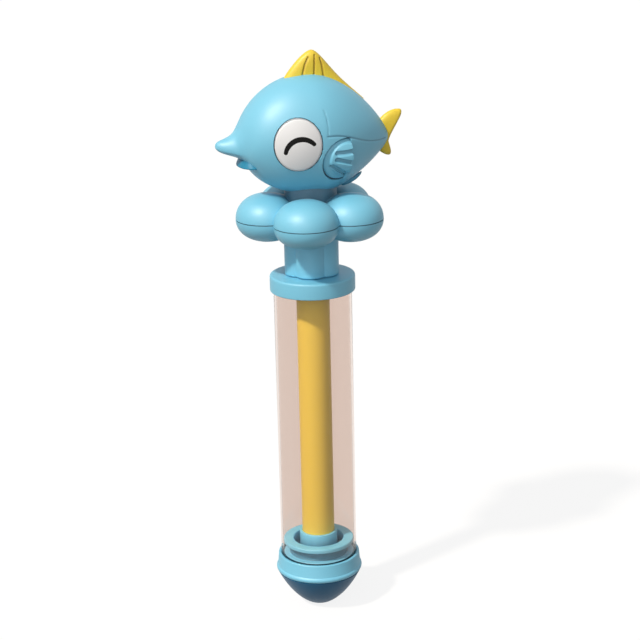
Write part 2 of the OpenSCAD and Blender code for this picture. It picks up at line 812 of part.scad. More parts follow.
module fish_shell() {
  color(blue) difference() {
    difference() {
      difference() {
        union() {
          difference() {
            fish_loft(skin_stations, 0);
            fish_cavity();
          }
          lower_lip();
        }
        right_of_middle();
      }
      eye_place() translate([0, 0, -eye_depth]) linear_extrude(2 * eye_depth) eye_plan(inlay_gap);
      side_fin_place() translate([0, 0, -side_fin_depth])
        linear_extrude(3 * side_fin_depth) side_fin_plan(inlay_gap);
    }
    union() {
      neck_seat(joint_gap, 0);
      disc(post_r + joint_gap, neck_head - cut, flange_foot + cut);
    }
    fin_slot(back_fin_arcs, back_fin_t);
    fin_slot(tail_arcs, tail_t);
    fin_slot(belly_fin_arcs, belly_fin_t);
  }
}

module fish_left_shell() {
  fish_shell();
}

module fish_right_shell() {
  right_side() fish_shell();
}

barrel_tube();
collar_cap();
nose_ring();
nozzle_dome();
nose_gasket();
plunger_rod();
piston();
piston_seal();
splash_lower_shell();
splash_upper_shell();
handle_post();
fish_left_shell();
fish_right_shell();
back_fin();
tail_fin();
belly_fin();
left_eye();
right_eye();
left_side_fin();
right_side_fin();
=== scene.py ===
"""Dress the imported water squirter: numpy surfaces, moulded plastics, a plain studio and the photograph's camera.

Sizes in the classes are millimetres in the part's own frame: the origin is the middle of the nozzle mouth, +Z runs
up the barrel, the fish looks along -X and its left side faces -Y. Meshes are written in metres.
"""

from __future__ import annotations

import logging
import math
from abc import ABC, abstractmethod
from dataclasses import dataclass, field
from enum import Enum

import bpy
import numpy as np
from mathutils import Matrix, Vector

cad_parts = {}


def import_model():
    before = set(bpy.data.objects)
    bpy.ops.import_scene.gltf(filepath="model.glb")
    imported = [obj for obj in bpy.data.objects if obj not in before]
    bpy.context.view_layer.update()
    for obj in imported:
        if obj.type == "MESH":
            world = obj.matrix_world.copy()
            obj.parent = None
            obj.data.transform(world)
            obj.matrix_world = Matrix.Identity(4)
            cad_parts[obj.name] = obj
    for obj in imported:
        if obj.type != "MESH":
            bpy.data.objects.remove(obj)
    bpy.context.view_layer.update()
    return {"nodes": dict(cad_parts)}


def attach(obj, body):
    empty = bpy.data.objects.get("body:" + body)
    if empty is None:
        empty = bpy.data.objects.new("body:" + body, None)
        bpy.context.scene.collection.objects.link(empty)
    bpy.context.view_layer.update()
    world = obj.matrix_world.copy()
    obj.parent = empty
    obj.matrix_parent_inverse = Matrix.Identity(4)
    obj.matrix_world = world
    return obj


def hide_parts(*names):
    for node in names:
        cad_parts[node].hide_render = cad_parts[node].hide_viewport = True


LOG = logging.getLogger("squirter")
MM = 0.001
Array = np.ndarray
Colour = tuple[float, float, float]

# Noise sizes, bump strength and stretch of the finishes, what sets clear plastic apart, and an inlay's rings.
CLOUD_MM = 22.0
BLOTCH_MM = 6.0
BUMP_STRENGTH = 0.35
DRAWN_STRETCH = 0.03
SOLID_IOR = 1.5
CLEAR_IOR = 1.01
CLEAR_COAT = 0.5
FOOT_RING = 0.3
RING_POWER = 0.8


class Body(Enum):
    """The moving bodies that a piece can ride on."""

    BARREL = "barrel"
    SEAL = "seal"
    PLUNGER = "plunger"


class Side(Enum):
    """The two sides of the fish."""

    LEFT = "left"
    RIGHT = "right"


@dataclass(frozen=True)
class Finish:
    """A moulded finish: two close tones in soft clouds, uneven gloss, a shallow ripple and a fine grain.

    Attributes:
        name: Name of the material.
        slot: The record's material slot, not used by this script.
        colour: Main tone, linear.
        cloud: Second tone, linear, mixed in by soft clouds.
        roughness: Middle roughness.
        specular: Specular level of the shader.
        roughness_swing: How far the roughness goes up and down.
        grain_mm: Size of the fine grain.
        grain_depth_mm: Height of the fine grain.
        ripple_depth_mm: Height of the shallow ripple of the moulded skin.
        clear: Share of the light that passes, 1 for clear plastic. Its thin wall is glossy and doesn't bend the view.
        gap_colour: Colour of the painted shade in recesses, in grooves and in sheltered places, where shade falls.
        drawn: True where the pattern is stretched along Z, as on an extruded tube.
    """

    name: str
    slot: str
    colour: Colour
    cloud: Colour
    roughness: float = 0.46
    specular: float = 0.8
    roughness_swing: float = 0.05
    grain_mm: float = 0.5
    grain_depth_mm: float = 0.006
    ripple_depth_mm: float = 0.02
    clear: float = 0.0
    gap_colour: Colour = (0.0, 0.03, 0.07)
    drawn: bool = False

    def material(self) -> bpy.types.Material:
        """Make the material once, and give the same one on later calls.

        Returns:
            The node material.
        """
        made = bpy.data.materials.get(self.name)
        if made is not None:
            return made
        made = bpy.data.materials.new(self.name)
        made.use_nodes = True
        tree = made.node_tree
        join = tree.links.new
        shader = tree.nodes["Principled BSDF"]
        shader.inputs["Specular IOR Level"].default_value = self.specular
        shader.inputs["Transmission Weight"].default_value = self.clear
        shader.inputs["Coat Weight"].default_value = CLEAR_COAT * self.clear
        shader.inputs["IOR"].default_value = SOLID_IOR + (CLEAR_IOR - SOLID_IOR) * self.clear
        clouds, blotches, grain = (self._noise(tree, size) for size in (CLOUD_MM, BLOTCH_MM, self.grain_mm))
        tone = self._mix(tree, clouds, self.cloud)
        tone.inputs["A"].default_value = (*self.colour, 1.0)
        # Painted shade: the point attribute gap mixes the painted shade colour into the base colour where shade
        # falls.
        gap = tree.nodes.new("ShaderNodeAttribute")
        gap.attribute_name = "gap"
        deep = self._mix(tree, gap.outputs["Fac"], self.gap_colour)
        join(tone.outputs["Result"], deep.inputs["A"])
        join(deep.outputs["Result"], shader.inputs["Base Color"])
        gloss = tree.nodes.new("ShaderNodeMapRange")
        gloss.inputs["To Min"].default_value = self.roughness - self.roughness_swing
        gloss.inputs["To Max"].default_value = self.roughness + self.roughness_swing
        join(blotches, gloss.inputs["Value"])
        join(gloss.outputs["Result"], shader.inputs["Roughness"])
        ripple = self._bump(tree, blotches, self.ripple_depth_mm)
        fine = self._bump(tree, grain, self.grain_depth_mm)
        join(ripple.outputs["Normal"], fine.inputs["Normal"])
        join(fine.outputs["Normal"], shader.inputs["Normal"])
        return made

    def _noise(self, tree: bpy.types.NodeTree, size_mm: float) -> bpy.types.NodeSocket:
        """Add a noise on Object coordinates.

        Args:
            tree: The node tree to add to.
            size_mm: Size of one blotch.

        Returns:
            The socket with the noise, from 0 to 1.
        """
        place = tree.nodes.new("ShaderNodeTexCoord")
        stretch = tree.nodes.new("ShaderNodeMapping")
        stretch.inputs["Scale"].default_value = (1.0, 1.0, DRAWN_STRETCH if self.drawn else 1.0)
        noise = tree.nodes.new("ShaderNodeTexNoise")
        noise.inputs["Scale"].default_value = 1.0 / (size_mm * MM)
        tree.links.new(place.outputs["Object"], stretch.inputs["Vector"])
        tree.links.new(stretch.outputs["Vector"], noise.inputs["Vector"])
        return noise.outputs["Fac"]

    @staticmethod
    def _mix(tree: bpy.types.NodeTree, share: bpy.types.NodeSocket, colour: Colour) -> bpy.types.Node:
        """Add a node that mixes a colour in.

        Args:
            tree: The node tree to add to.
            share: The socket with the colour's share, from 0 to 1.
            colour: The colour that is mixed in, linear.

        Returns:
            The mix node, whose first colour is still to be set.
        """
        mix = tree.nodes.new("ShaderNodeMix")
        mix.data_type = "RGBA"
        mix.inputs["B"].default_value = (*colour, 1.0)
        tree.links.new(share, mix.inputs["Factor"])
        return mix

    @staticmethod
    def _bump(tree: bpy.types.NodeTree, height: bpy.types.NodeSocket, depth_mm: float) -> bpy.types.Node:
        """Add a bump node.

        Args:
            tree: The node tree to add to.
            height: The socket with the height, from 0 to 1.
            depth_mm: Height of the bumps.

        Returns:
            The bump node.
        """
        bump = tree.nodes.new("ShaderNodeBump")
        bump.inputs["Strength"].default_value = BUMP_STRENGTH
        bump.inputs["Distance"].default_value = depth_mm * MM
        tree.links.new(height, bump.inputs["Height"])
        return bump


LIGHT_BLUE = Finish("light_blue_moulding", "blue_shell", (0.16, 0.51, 0.70), (0.175, 0.53, 0.715), 0.5, 1.0)
PALE_BLUE = Finish("pale_blue_piston", "blue_shell", (0.22, 0.70, 0.97), (0.24, 0.72, 0.98))
DARK_BLUE = Finish("dark_blue_nose", "dark_blue_shell", (0.008, 0.105, 0.22), (0.01, 0.115, 0.235), 0.4, 0.2)
# The lower lip is a darker copy of the light blue: painted shade from the beak above.
LIP_SHADED_BLUE = Finish("painted_shade_blue_lip", "blue_shell", (0.012, 0.205, 0.345), (0.015, 0.22, 0.36), 0.5, 0.4)
FIN_BLUE = Finish("mid_blue_fin", "dark_blue_shell", (0.06, 0.30, 0.46), (0.065, 0.32, 0.48))
YELLOW = Finish("warm_yellow_fin", "yellow_shell", (0.78, 0.57, 0.04), (0.80, 0.59, 0.05), 0.45, 0.5,
                gap_colour=(0.24, 0.13, 0.01))
ROD_YELLOW = Finish("amber_yellow_rod", "yellow_shell", (0.98, 0.71, 0.085), (0.99, 0.73, 0.105), 0.42, 0.5,
                    drawn=True)
WHITE = Finish("white_eye_inlay", "white_inlay", (0.80, 0.81, 0.83), (0.81, 0.82, 0.84), 0.35, 0.5, 0.04)
BLACK = Finish("black_eye_line", "white_inlay", (0.006, 0.006, 0.006), (0.009, 0.008, 0.008), 0.5, 0.1)
CLEAR = Finish("clear_tinted_tube", "clear_tube", (0.85, 0.78, 0.745), (0.785, 0.665, 0.60), 0.04, 0.5, 0.02, 3.0,
               0.001, 0.002, clear=1.0, drawn=True)
GREY = Finish("grey_post", "grey_core", (0.5, 0.51, 0.53), (0.54, 0.55, 0.57))
GASKET = Finish("soft_gasket_grey", "gasket", (0.5, 0.51, 0.53), (0.46, 0.47, 0.49), 0.7, 0.4)
SEAL = Finish("soft_seal_black", "seal", (0.02, 0.07, 0.12), (0.025, 0.08, 0.13), 0.6, 0.4)


@dataclass
class Surface:
    """A mesh as whole arrays: points in millimetres, and faces of four and of three corners.

    Attributes:
        points: Array of n by 3.
        quads: Array of faces with four corners.
        tris: Array of faces with three corners.
        gap: How far each point goes to the painted shade colour, from 0 to 1.
    """

    points: Array
    quads: Array
    tris: Array = field(default_factory=lambda: np.zeros((0, 3), int))
    gap: Array | None = None

    def mirrored(self) -> Surface:
        """The same surface on the other side of the middle plane: Y changes sign and each face is turned round."""
        return Surface(self.points * (1.0, -1.0, 1.0), self.quads[:, ::-1], self.tris[:, ::-1], self.gap)

    def placed(self, height: float, flip: bool = False) -> Surface:
        """The same surface at a height, upside down where asked: Z changes sign and each face is turned round.

        Args:
            height: Height that is added to Z.
            flip: True to turn the surface upside down first.

        Returns:
            The new surface.
        """
        turn = -1 if flip else 1
        points = self.points * (1.0, 1.0, turn) + (0.0, 0.0, height)
        return Surface(points, self.quads[:, ::turn], self.tris[:, ::turn], self.gap)

    def mesh(self, name: str, sharp: float = 38.0) -> bpy.types.Mesh:
        """Write the surface into a mesh, smooth except at sharp edges.

        Args:
            name: Name of the mesh.
            sharp: Angle in degrees above which an edge shows as an edge.

        Returns:
            The new mesh.
        """
        corners = np.concatenate([self.quads.ravel(), self.tris.ravel()]).astype(np.int32)
        sizes = np.concatenate([np.full(len(self.quads), 4), np.full(len(self.tris), 3)]).astype(np.int32)
        starts = np.concatenate([[0], np.cumsum(sizes)[:-1]]).astype(np.int32)
        mesh = bpy.data.meshes.new(name)
        mesh.vertices.add(len(self.points))
        mesh.vertices.foreach_set("co", (self.points * MM).astype(np.float32).ravel())
        mesh.loops.add(len(corners))
        mesh.loops.foreach_set("vertex_index", corners)
        mesh.polygons.add(len(sizes))
        mesh.polygons.foreach_set("loop_start", starts)
        mesh.polygons.foreach_set("use_smooth", np.ones(len(sizes), bool))
        mesh.update(calc_edges=True)
        mesh.validate()
        mesh.set_sharp_from_angle(angle=math.radians(sharp))
        # The point attribute gap carries the painted shade into the material.
        if self.gap is not None:
            mesh.attributes.new("gap", "FLOAT", "POINT").data.foreach_set("value", self.gap.astype(np.float32))
        return mesh


@dataclass(frozen=True)
class Piece:
    """A surface with what it needs in the scene.

    Attributes:
        name: Name of the piece.
        surface: Its shape.
        body: The body that it rides on.
        finish: Its finish.
        nodes: CAD nodes that it stands for.
    """

    name: str
    surface: Surface
    body: Body
    finish: Finish
    nodes: tuple[str, ...] = ()


class Assembly(ABC):
    """A sub-assembly: its pieces are built as meshes and then dressed."""

    @abstractmethod
    def pieces(self) -> list[Piece]:
        """Work out the surfaces of the sub-assembly."""

    def kept_nodes(self) -> dict[str, Finish]:
        """CAD nodes that stay in the scene as they are, with their finishes."""
        return {}

    def build(self) -> list[tuple[bpy.types.Object, Finish]]:
        """Make an object of each piece that rides on its body and stands for its CAD nodes.

        Returns:
            The objects with the finishes that they wait for.
        """
        made = []
        for piece in self.pieces():
            thing = bpy.data.objects.new(piece.name, piece.surface.mesh(piece.name))
            bpy.context.scene.collection.objects.link(thing)
            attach(thing, piece.body.value)
            if piece.nodes:
                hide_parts(*piece.nodes)
            made.append((thing, piece.finish))
            LOG.info("%s: built with %d points", piece.name, len(piece.surface.points))
        return made

    def dress(self, made: list[tuple[bpy.types.Object, Finish]], nodes: dict[str, bpy.types.Object]) -> None:
        """Give the built objects and the kept CAD nodes their finishes. Clear plastic lets the light through.

        Args:
            made: The objects with their finishes.
            nodes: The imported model's nodes.
        """
        for thing, finish in made + [(nodes[name], finish) for name, finish in self.kept_nodes().items()]:
            thing.data.materials.clear()
            thing.data.materials.append(finish.material())
            thing.visible_shadow = thing.visible_diffuse = finish.clear == 0.0
            LOG.info("%s: dressed in %s", thing.name, finish.name)


def grid_quads(rows: int, columns: int, wrap_rows: bool = False) -> Array:
    """Faces of a grid of points that is stored row after row, each row closed on itself.

    Args:
        rows: Number of rows.
        columns: Points in a row.
        wrap_rows: True if the last row joins the first.

    Returns:
        Array of quads that run along the row first and then to the next row.
    """
    i = np.arange(rows if wrap_rows else rows - 1)[:, None]
    j = np.arange(columns)[None, :]
    down, right = (i + 1) % rows, (j + 1) % columns
    a = i * columns + j
    return np.stack([a, i * columns + right, down * columns + right, down * columns + j], -1).reshape(-1, 4)


def closed_by_poles(rings: Array, gap: Array | None = None) -> Surface:
    """Join rings of points and close the first and the last ring with a point in their middle.

    Args:
        rings: Array of rings by points by 3, counter-clockwise seen from outside the last ring.
        gap: How far each ring point goes to the painted shade colour, or None.

    Returns:
        A closed surface.
    """
    rows, columns = rings.shape[:2]
    count = rows * columns
    k = np.arange(columns)
    after = (k + 1) % columns
    first = np.stack([np.full(columns, count), after, k], -1)
    last = np.stack([np.full(columns, count + 1), count - columns + k, count - columns + after], -1)
    points = np.concatenate([rings.reshape(-1, 3), rings[[0, -1]].mean(axis=1)])
    if gap is not None:
        gap = np.concatenate([gap.ravel(), gap[[0, -1]].mean(axis=1)])
    return Surface(points, grid_quads(rows, columns), np.concatenate([first, last]), gap)


def filleted(corners: Array, radii: Array, steps: int = 6) -> Array:
    """Round the corners of a closed outline: each corner becomes a parabola between two points on its edges.

    Args:
        corners: Array of n by 2, counter-clockwise.
        radii: How far each rounding reaches along its edges, at most half of the shorter edge.
        steps: Points of one rounding.

    Returns:
        The rounded outline.
    """
    to_last = np.roll(corners, 1, 0) - corners
    to_next = np.roll(corners, -1, 0) - corners
    reach_last = np.linalg.norm(to_last, axis=1, keepdims=True)
    reach_next = np.linalg.norm(to_next, axis=1, keepdims=True)
    reach = np.minimum(np.asarray(radii, float)[:, None], 0.49 * np.minimum(reach_last, reach_next))
    start = (corners + to_last / reach_last * reach)[:, None]
    end = (corners + to_next / reach_next * reach)[:, None]
    t = np.linspace(0.0, 1.0, steps)[None, :, None]
    return ((1 - t) ** 2 * start + 2 * t * (1 - t) * corners[:, None] + t**2 * end).reshape(-1, 2)


def turns(steps: int) -> Array:
    """Angles of evenly spread points round a circle, from 0."""
    return np.linspace(0.0, 2 * np.pi, steps, endpoint=False)


def inlay_shares(rings: int, pole_turn: float) -> Array:
    """Shares of the radius for an inlay's rings: two on its foot, then from the edge of its top to its middle.

    The rings of the top follow the sine of a turn from 90 degrees, to the power of RING_POWER.

    Args:
        rings: Number of rings on the top.
        pole_turn: Turn of the innermost ring, in radians.

    Returns:
        Array of shares.
    """
    top = np.sin(np.linspace(np.pi / 2, pole_turn, rings)) ** RING_POWER
    return np.concatenate([[FOOT_RING, 1.0, 1.0], top])


def spin_points(profile: Array, steps: int) -> Array:
    """Carry a profile of radius and height round the Z axis: x = r cos a, y = r sin a, z = h.

    Args:
        profile: Array of n by 2.
        steps: Points round the axis.

    Returns:
        Array of n by steps by 3.
    """
    a = turns(steps)
    r, h = profile[:, :1], profile[:, 1:]
    return np.stack([r * np.cos(a), r * np.sin(a), h + 0 * a], -1)


def revolved(outline: Array, steps: int = 224) -> Surface:
    """Carry a closed outline, counter-clockwise and clear of the axis, round the Z axis to a closed ring."""
    return Surface(spin_points(outline, steps).reshape(-1, 3), grid_quads(len(outline), steps, wrap_rows=True))


def bezier(arc: Array, t: Array) -> Array:
    """A cubic arc at t: the four points weighted by (1-t)^3, 3t(1-t)^2, 3t^2(1-t) and t^3.

    Args:
        arc: Array of (..., 4, 2), one arc for each t or one for all.
        t: Array of places on the arc.

    Returns:
        Array of points.
    """
    w = np.stack([(1 - t) ** 3, 3 * t * (1 - t) ** 2, 3 * t**2 * (1 - t), t**3], -1)
    return np.einsum("...k,...kc->...c", w, arc)


def reach_to(line: Array, x: Array, z: Array) -> Array:
    """Distance of each point (x, z) from a drawn line of straight pieces.

    Args:
        line: Array of n by 2.
        x: Array of any shape.
        z: Array of the same shape.

    Returns:
        Array of the same shape.
    """
    start, step = line[:-1], np.diff(line, axis=0)
    rel = np.stack([x, z], -1)[..., None, :] - start
    t = np.clip((rel * step).sum(-1) / (step**2).sum(-1), 0.0, 1.0)
    return np.linalg.norm(rel - t[..., None] * step, axis=-1).min(-1)


def soft_step(share: Array) -> Array:
    """A step from 0 to 1 with soft ends: s^2 (3 - 2 s), with s the share held between 0 and 1."""
    share = np.clip(share, 0.0, 1.0)
    return share * share * (3 - 2 * share)


def box_outline(inner: float, outer: float, low: float, high: float) -> Array:
    """The section of a plain tube wall, counter-clockwise, in radius and height."""
    return np.array([[inner, low], [outer, low], [outer, high], [inner, high]])


@dataclass
class Barrel(Assembly):
    """The clear tube with its collar cap, nose ring and nose dome, and the gasket inside."""

    tube_r: float = 20.0
    bore_r: float = 18.8
    wall_round: float = 0.25
    foot: float = 23.0
    head: float = 179.5
    cap_r: float = 21.8
    cap_foot: float = 174.1
    cap_face: float = 182.5
    cap_rounds: tuple[float, ...] = (0.3, 0.7, 1.3, 0.6, 0.3, 0.2)
    rod_hole_r: float = 8.8
    seat_r: float = 20.05
    dome_r: float = 22.1
    dome_height: float = 19.2
    dome_lean: tuple[float, float] = (6.6, 14.0)
    dome_share: float = 0.985
    dome_edge: tuple[tuple[float, float], ...] = ((0.05, 0.12), (0.3, 0.0))
    tip_flat_r: float = 4.5
    mouth_ease: float = 2.2
    mouth_r: float = 2.5
    mouth_length: float = 4.0
    mouth_bevel: float = 0.25
    rim_r: float = 21.4
    rim: float = 29.0
    rim_round: float = 0.6
    rim_from: float = 5.0
    rim_bevel: tuple[float, float] = (0.1, 0.2)
    bead_r: float = 22.7
    bead_round: float = 1.6
    bead_sweep: float = 56.0
    band_foot_r: float = 21.95
    band_step: float = 0.15
    spigot_r: float = 19.95
    spigot_top: float = 21.8
    chamber_r: float = 5.5
    gasket_bore_r: float = 16.8

    def pieces(self) -> list[Piece]:
        """The tube, the cap, the nose ring and the nose dome."""
        return [
            Piece("clear_barrel", self._tube(), Body.BARREL, CLEAR, ("barrel_tube",)),
            Piece("rod_collar", self._cap(), Body.BARREL, LIGHT_BLUE, ("collar_cap",)),
            Piece("beaded_nose_ring", self._ring(), Body.BARREL, LIGHT_BLUE, ("nose_ring",)),
            Piece("nose_dome", self._dome(), Body.BARREL, DARK_BLUE, ("nozzle_dome",)),
        ]

    def kept_nodes(self) -> dict[str, Finish]:
        """The gasket under the tube."""
        return {"nose_gasket": GASKET}

    def _tube(self) -> Surface:
        """A plain tube: its wall's outline carried round the axis."""
        wall = box_outline(self.bore_r, self.tube_r, self.foot, self.head)
        return revolved(filleted(wall, np.full(4, self.wall_round), steps=4), steps=256)

    def _cap(self) -> Surface:
        """The cap's section carried round the axis: a top with the rod's hole, and a skirt over the tube."""
        section = np.array([[self.seat_r, self.cap_foot], [self.cap_r, self.cap_foot],
                            [self.cap_r, self.cap_face], [self.rod_hole_r, self.cap_face],
                            [self.rod_hole_r, self.head], [self.seat_r, self.head]])
        return revolved(filleted(section, np.array(self.cap_rounds), steps=8))

    def _ring(self) -> Surface:
        """The ring's section carried round the axis: a bead, and a band that leans in from it to a round rim.

        Returns:
            A closed ring.
        """
        middle = np.array([self.bead_r - self.bead_round, self.dome_height + self.bead_round])
        turn = np.radians(np.linspace(-90.0, self.bead_sweep, num=24))
        bead = middle + self.bead_round * np.stack([np.cos(turn), np.sin(turn)], -1)
        band_foot = np.array([[self.band_foot_r, bead[-1, 1] + self.band_step]])
        turn = np.radians(np.linspace(self.rim_from, 90.0, num=8))
        rim = np.array([self.rim_r, self.rim]) - self.rim_round
        rim = rim + self.rim_round * np.stack([np.cos(turn), np.sin(turn)], -1)
        inside = np.array([[self.seat_r + self.rim_bevel[0], self.rim], [self.seat_r, self.rim - self.rim_bevel[1]],
                           [self.seat_r, self.dome_height]])
        return revolved(np.concatenate([bead, band_foot, rim, inside]))

    def _dome(self) -> Surface:
        """The dome's section carried round the axis: a cubic arc from the flat at the mouth to the rim.

        Returns:
            A closed ring, with the chamber and the mouth inside.
        """
        rim = np.array([self.dome_r, self.dome_height])
        tip = np.array([self.tip_flat_r, 0.0])
        arc = np.array([tip, tip + (self.mouth_ease, 0.0), rim - self.dome_lean, rim])
        outside = bezier(arc, np.linspace(0.0, self.dome_share, num=40))
        inside = np.array([[self.spigot_r, self.dome_height], [self.spigot_r, self.spigot_top],
                           [self.gasket_bore_r, self.spigot_top], [self.chamber_r, self.mouth_length],
                           [self.mouth_r, self.mouth_length], [self.mouth_r, self.mouth_bevel],
                           [self.mouth_r + self.mouth_bevel, 0.0]])
        return revolved(np.concatenate([outside, rim - np.array(self.dome_edge), inside]))


@dataclass
class RodAndPiston(Assembly):
    """The rod, the flanged piston with its pocket and socket, and the seal in its groove."""

    rod_r: float = 8.5
    rod_bore_r: float = 6.9
    rod_foot: float = 27.6
    rod_head: float = 212.8
    rod_round: float = 0.3
    piston_r: float = 18.5
    foot: float = 23.3
    groove_r: float = 15.88
    groove_low: float = 24.64
    groove_high: float = 27.56
    waist_r: float = 15.2
    waist_foot: float = 29.3
    guide_foot: float = 34.6
    face: float = 36.9
    pocket_r: float = 13.2
    pocket_floor: float = 31.3
    socket_r: float = 9.9
    socket_bore_r: float = 8.55
    socket_top: float = 41.2
    rounds: tuple[float, ...] = (0, 0.5, 0.2, 0.1, 0.1, 0.2, 0.6, 0.4, 0.4, 0.5, 0.8, 0.7, 0.4, 0.4, 0.5, 0.3, 0.2, 0)
    round_steps: int = 6
    pole_r: float = 0.4
    under_lip_tone: float = 0.97
    pocket_tone: float = 0.7
    waist_tone: float = 0.65
    slack: float = 0.1
    lip_edge: float = 0.25
    face_edge: float = 0.9
    waist_edge: float = 0.5
    steps: int = 200

    def pieces(self) -> list[Piece]:
        """The rod and the piston.

        Returns:
            The two pieces.
        """
        wall = box_outline(self.rod_bore_r, self.rod_r, self.rod_foot, self.rod_head)
        rod = revolved(filleted(wall, np.full(4, self.rod_round), steps=5), steps=160)
        return [
            Piece("yellow_rod", rod, Body.PLUNGER, ROD_YELLOW, ("plunger_rod",)),
            Piece("flanged_piston", self._piston(), Body.PLUNGER, PALE_BLUE, ("piston",)),
        ]

    def kept_nodes(self) -> dict[str, Finish]:
        """The seal ring."""
        return {"piston_seal": SEAL}

    def _piston(self) -> Surface:
        """The piston's profile, with rounded edges, spun from the middle of its foot to the middle of its socket.

        Painted shade darkens the places under the lip, in the pocket and in the waist.

        Returns:
            A closed surface.
        """
        corners = np.array([
            [0.0, self.foot], [self.piston_r, self.foot], [self.piston_r, self.groove_low],
            [self.groove_r, self.groove_low], [self.groove_r, self.groove_high], [self.piston_r, self.groove_high],
            [self.piston_r, self.waist_foot], [self.waist_r, self.waist_foot], [self.waist_r, self.guide_foot],
            [self.piston_r, self.guide_foot], [self.piston_r, self.face], [self.pocket_r, self.face],
            [self.pocket_r, self.pocket_floor], [self.socket_r, self.pocket_floor],
            [self.socket_r, self.socket_top], [self.socket_bore_r, self.socket_top],
            [self.socket_bore_r, self.rod_foot], [0.0, self.rod_foot]])
        rounded = filleted(corners, np.array(self.rounds), self.round_steps)[self.round_steps:-self.round_steps]
        profile = np.concatenate([[[self.pole_r, self.foot]], rounded, [[self.pole_r, self.rod_foot]]])
        r, h = profile[:, 0], profile[:, 1]
        below_face = h < self.face - self.face_edge
        under_lip = ((r > self.piston_r - 2 * self.slack) & (h < self.waist_foot - self.lip_edge)
                     & (h > self.groove_high - self.slack))
        in_pocket = (r > self.socket_r - self.slack) & (r < self.pocket_r + self.slack) & below_face
        in_waist = ((r < self.waist_r + self.waist_edge) & (r > self.waist_r - self.slack)
                    & (h > self.waist_foot) & below_face)
        # Painted shade in the deep places of the piston.
        depth = (self.under_lip_tone * under_lip + self.pocket_tone * in_pocket * (1 - in_waist)
                 + self.waist_tone * in_waist)
        return closed_by_poles(spin_points(profile, self.steps), np.repeat(depth[:, None], self.steps, 1))


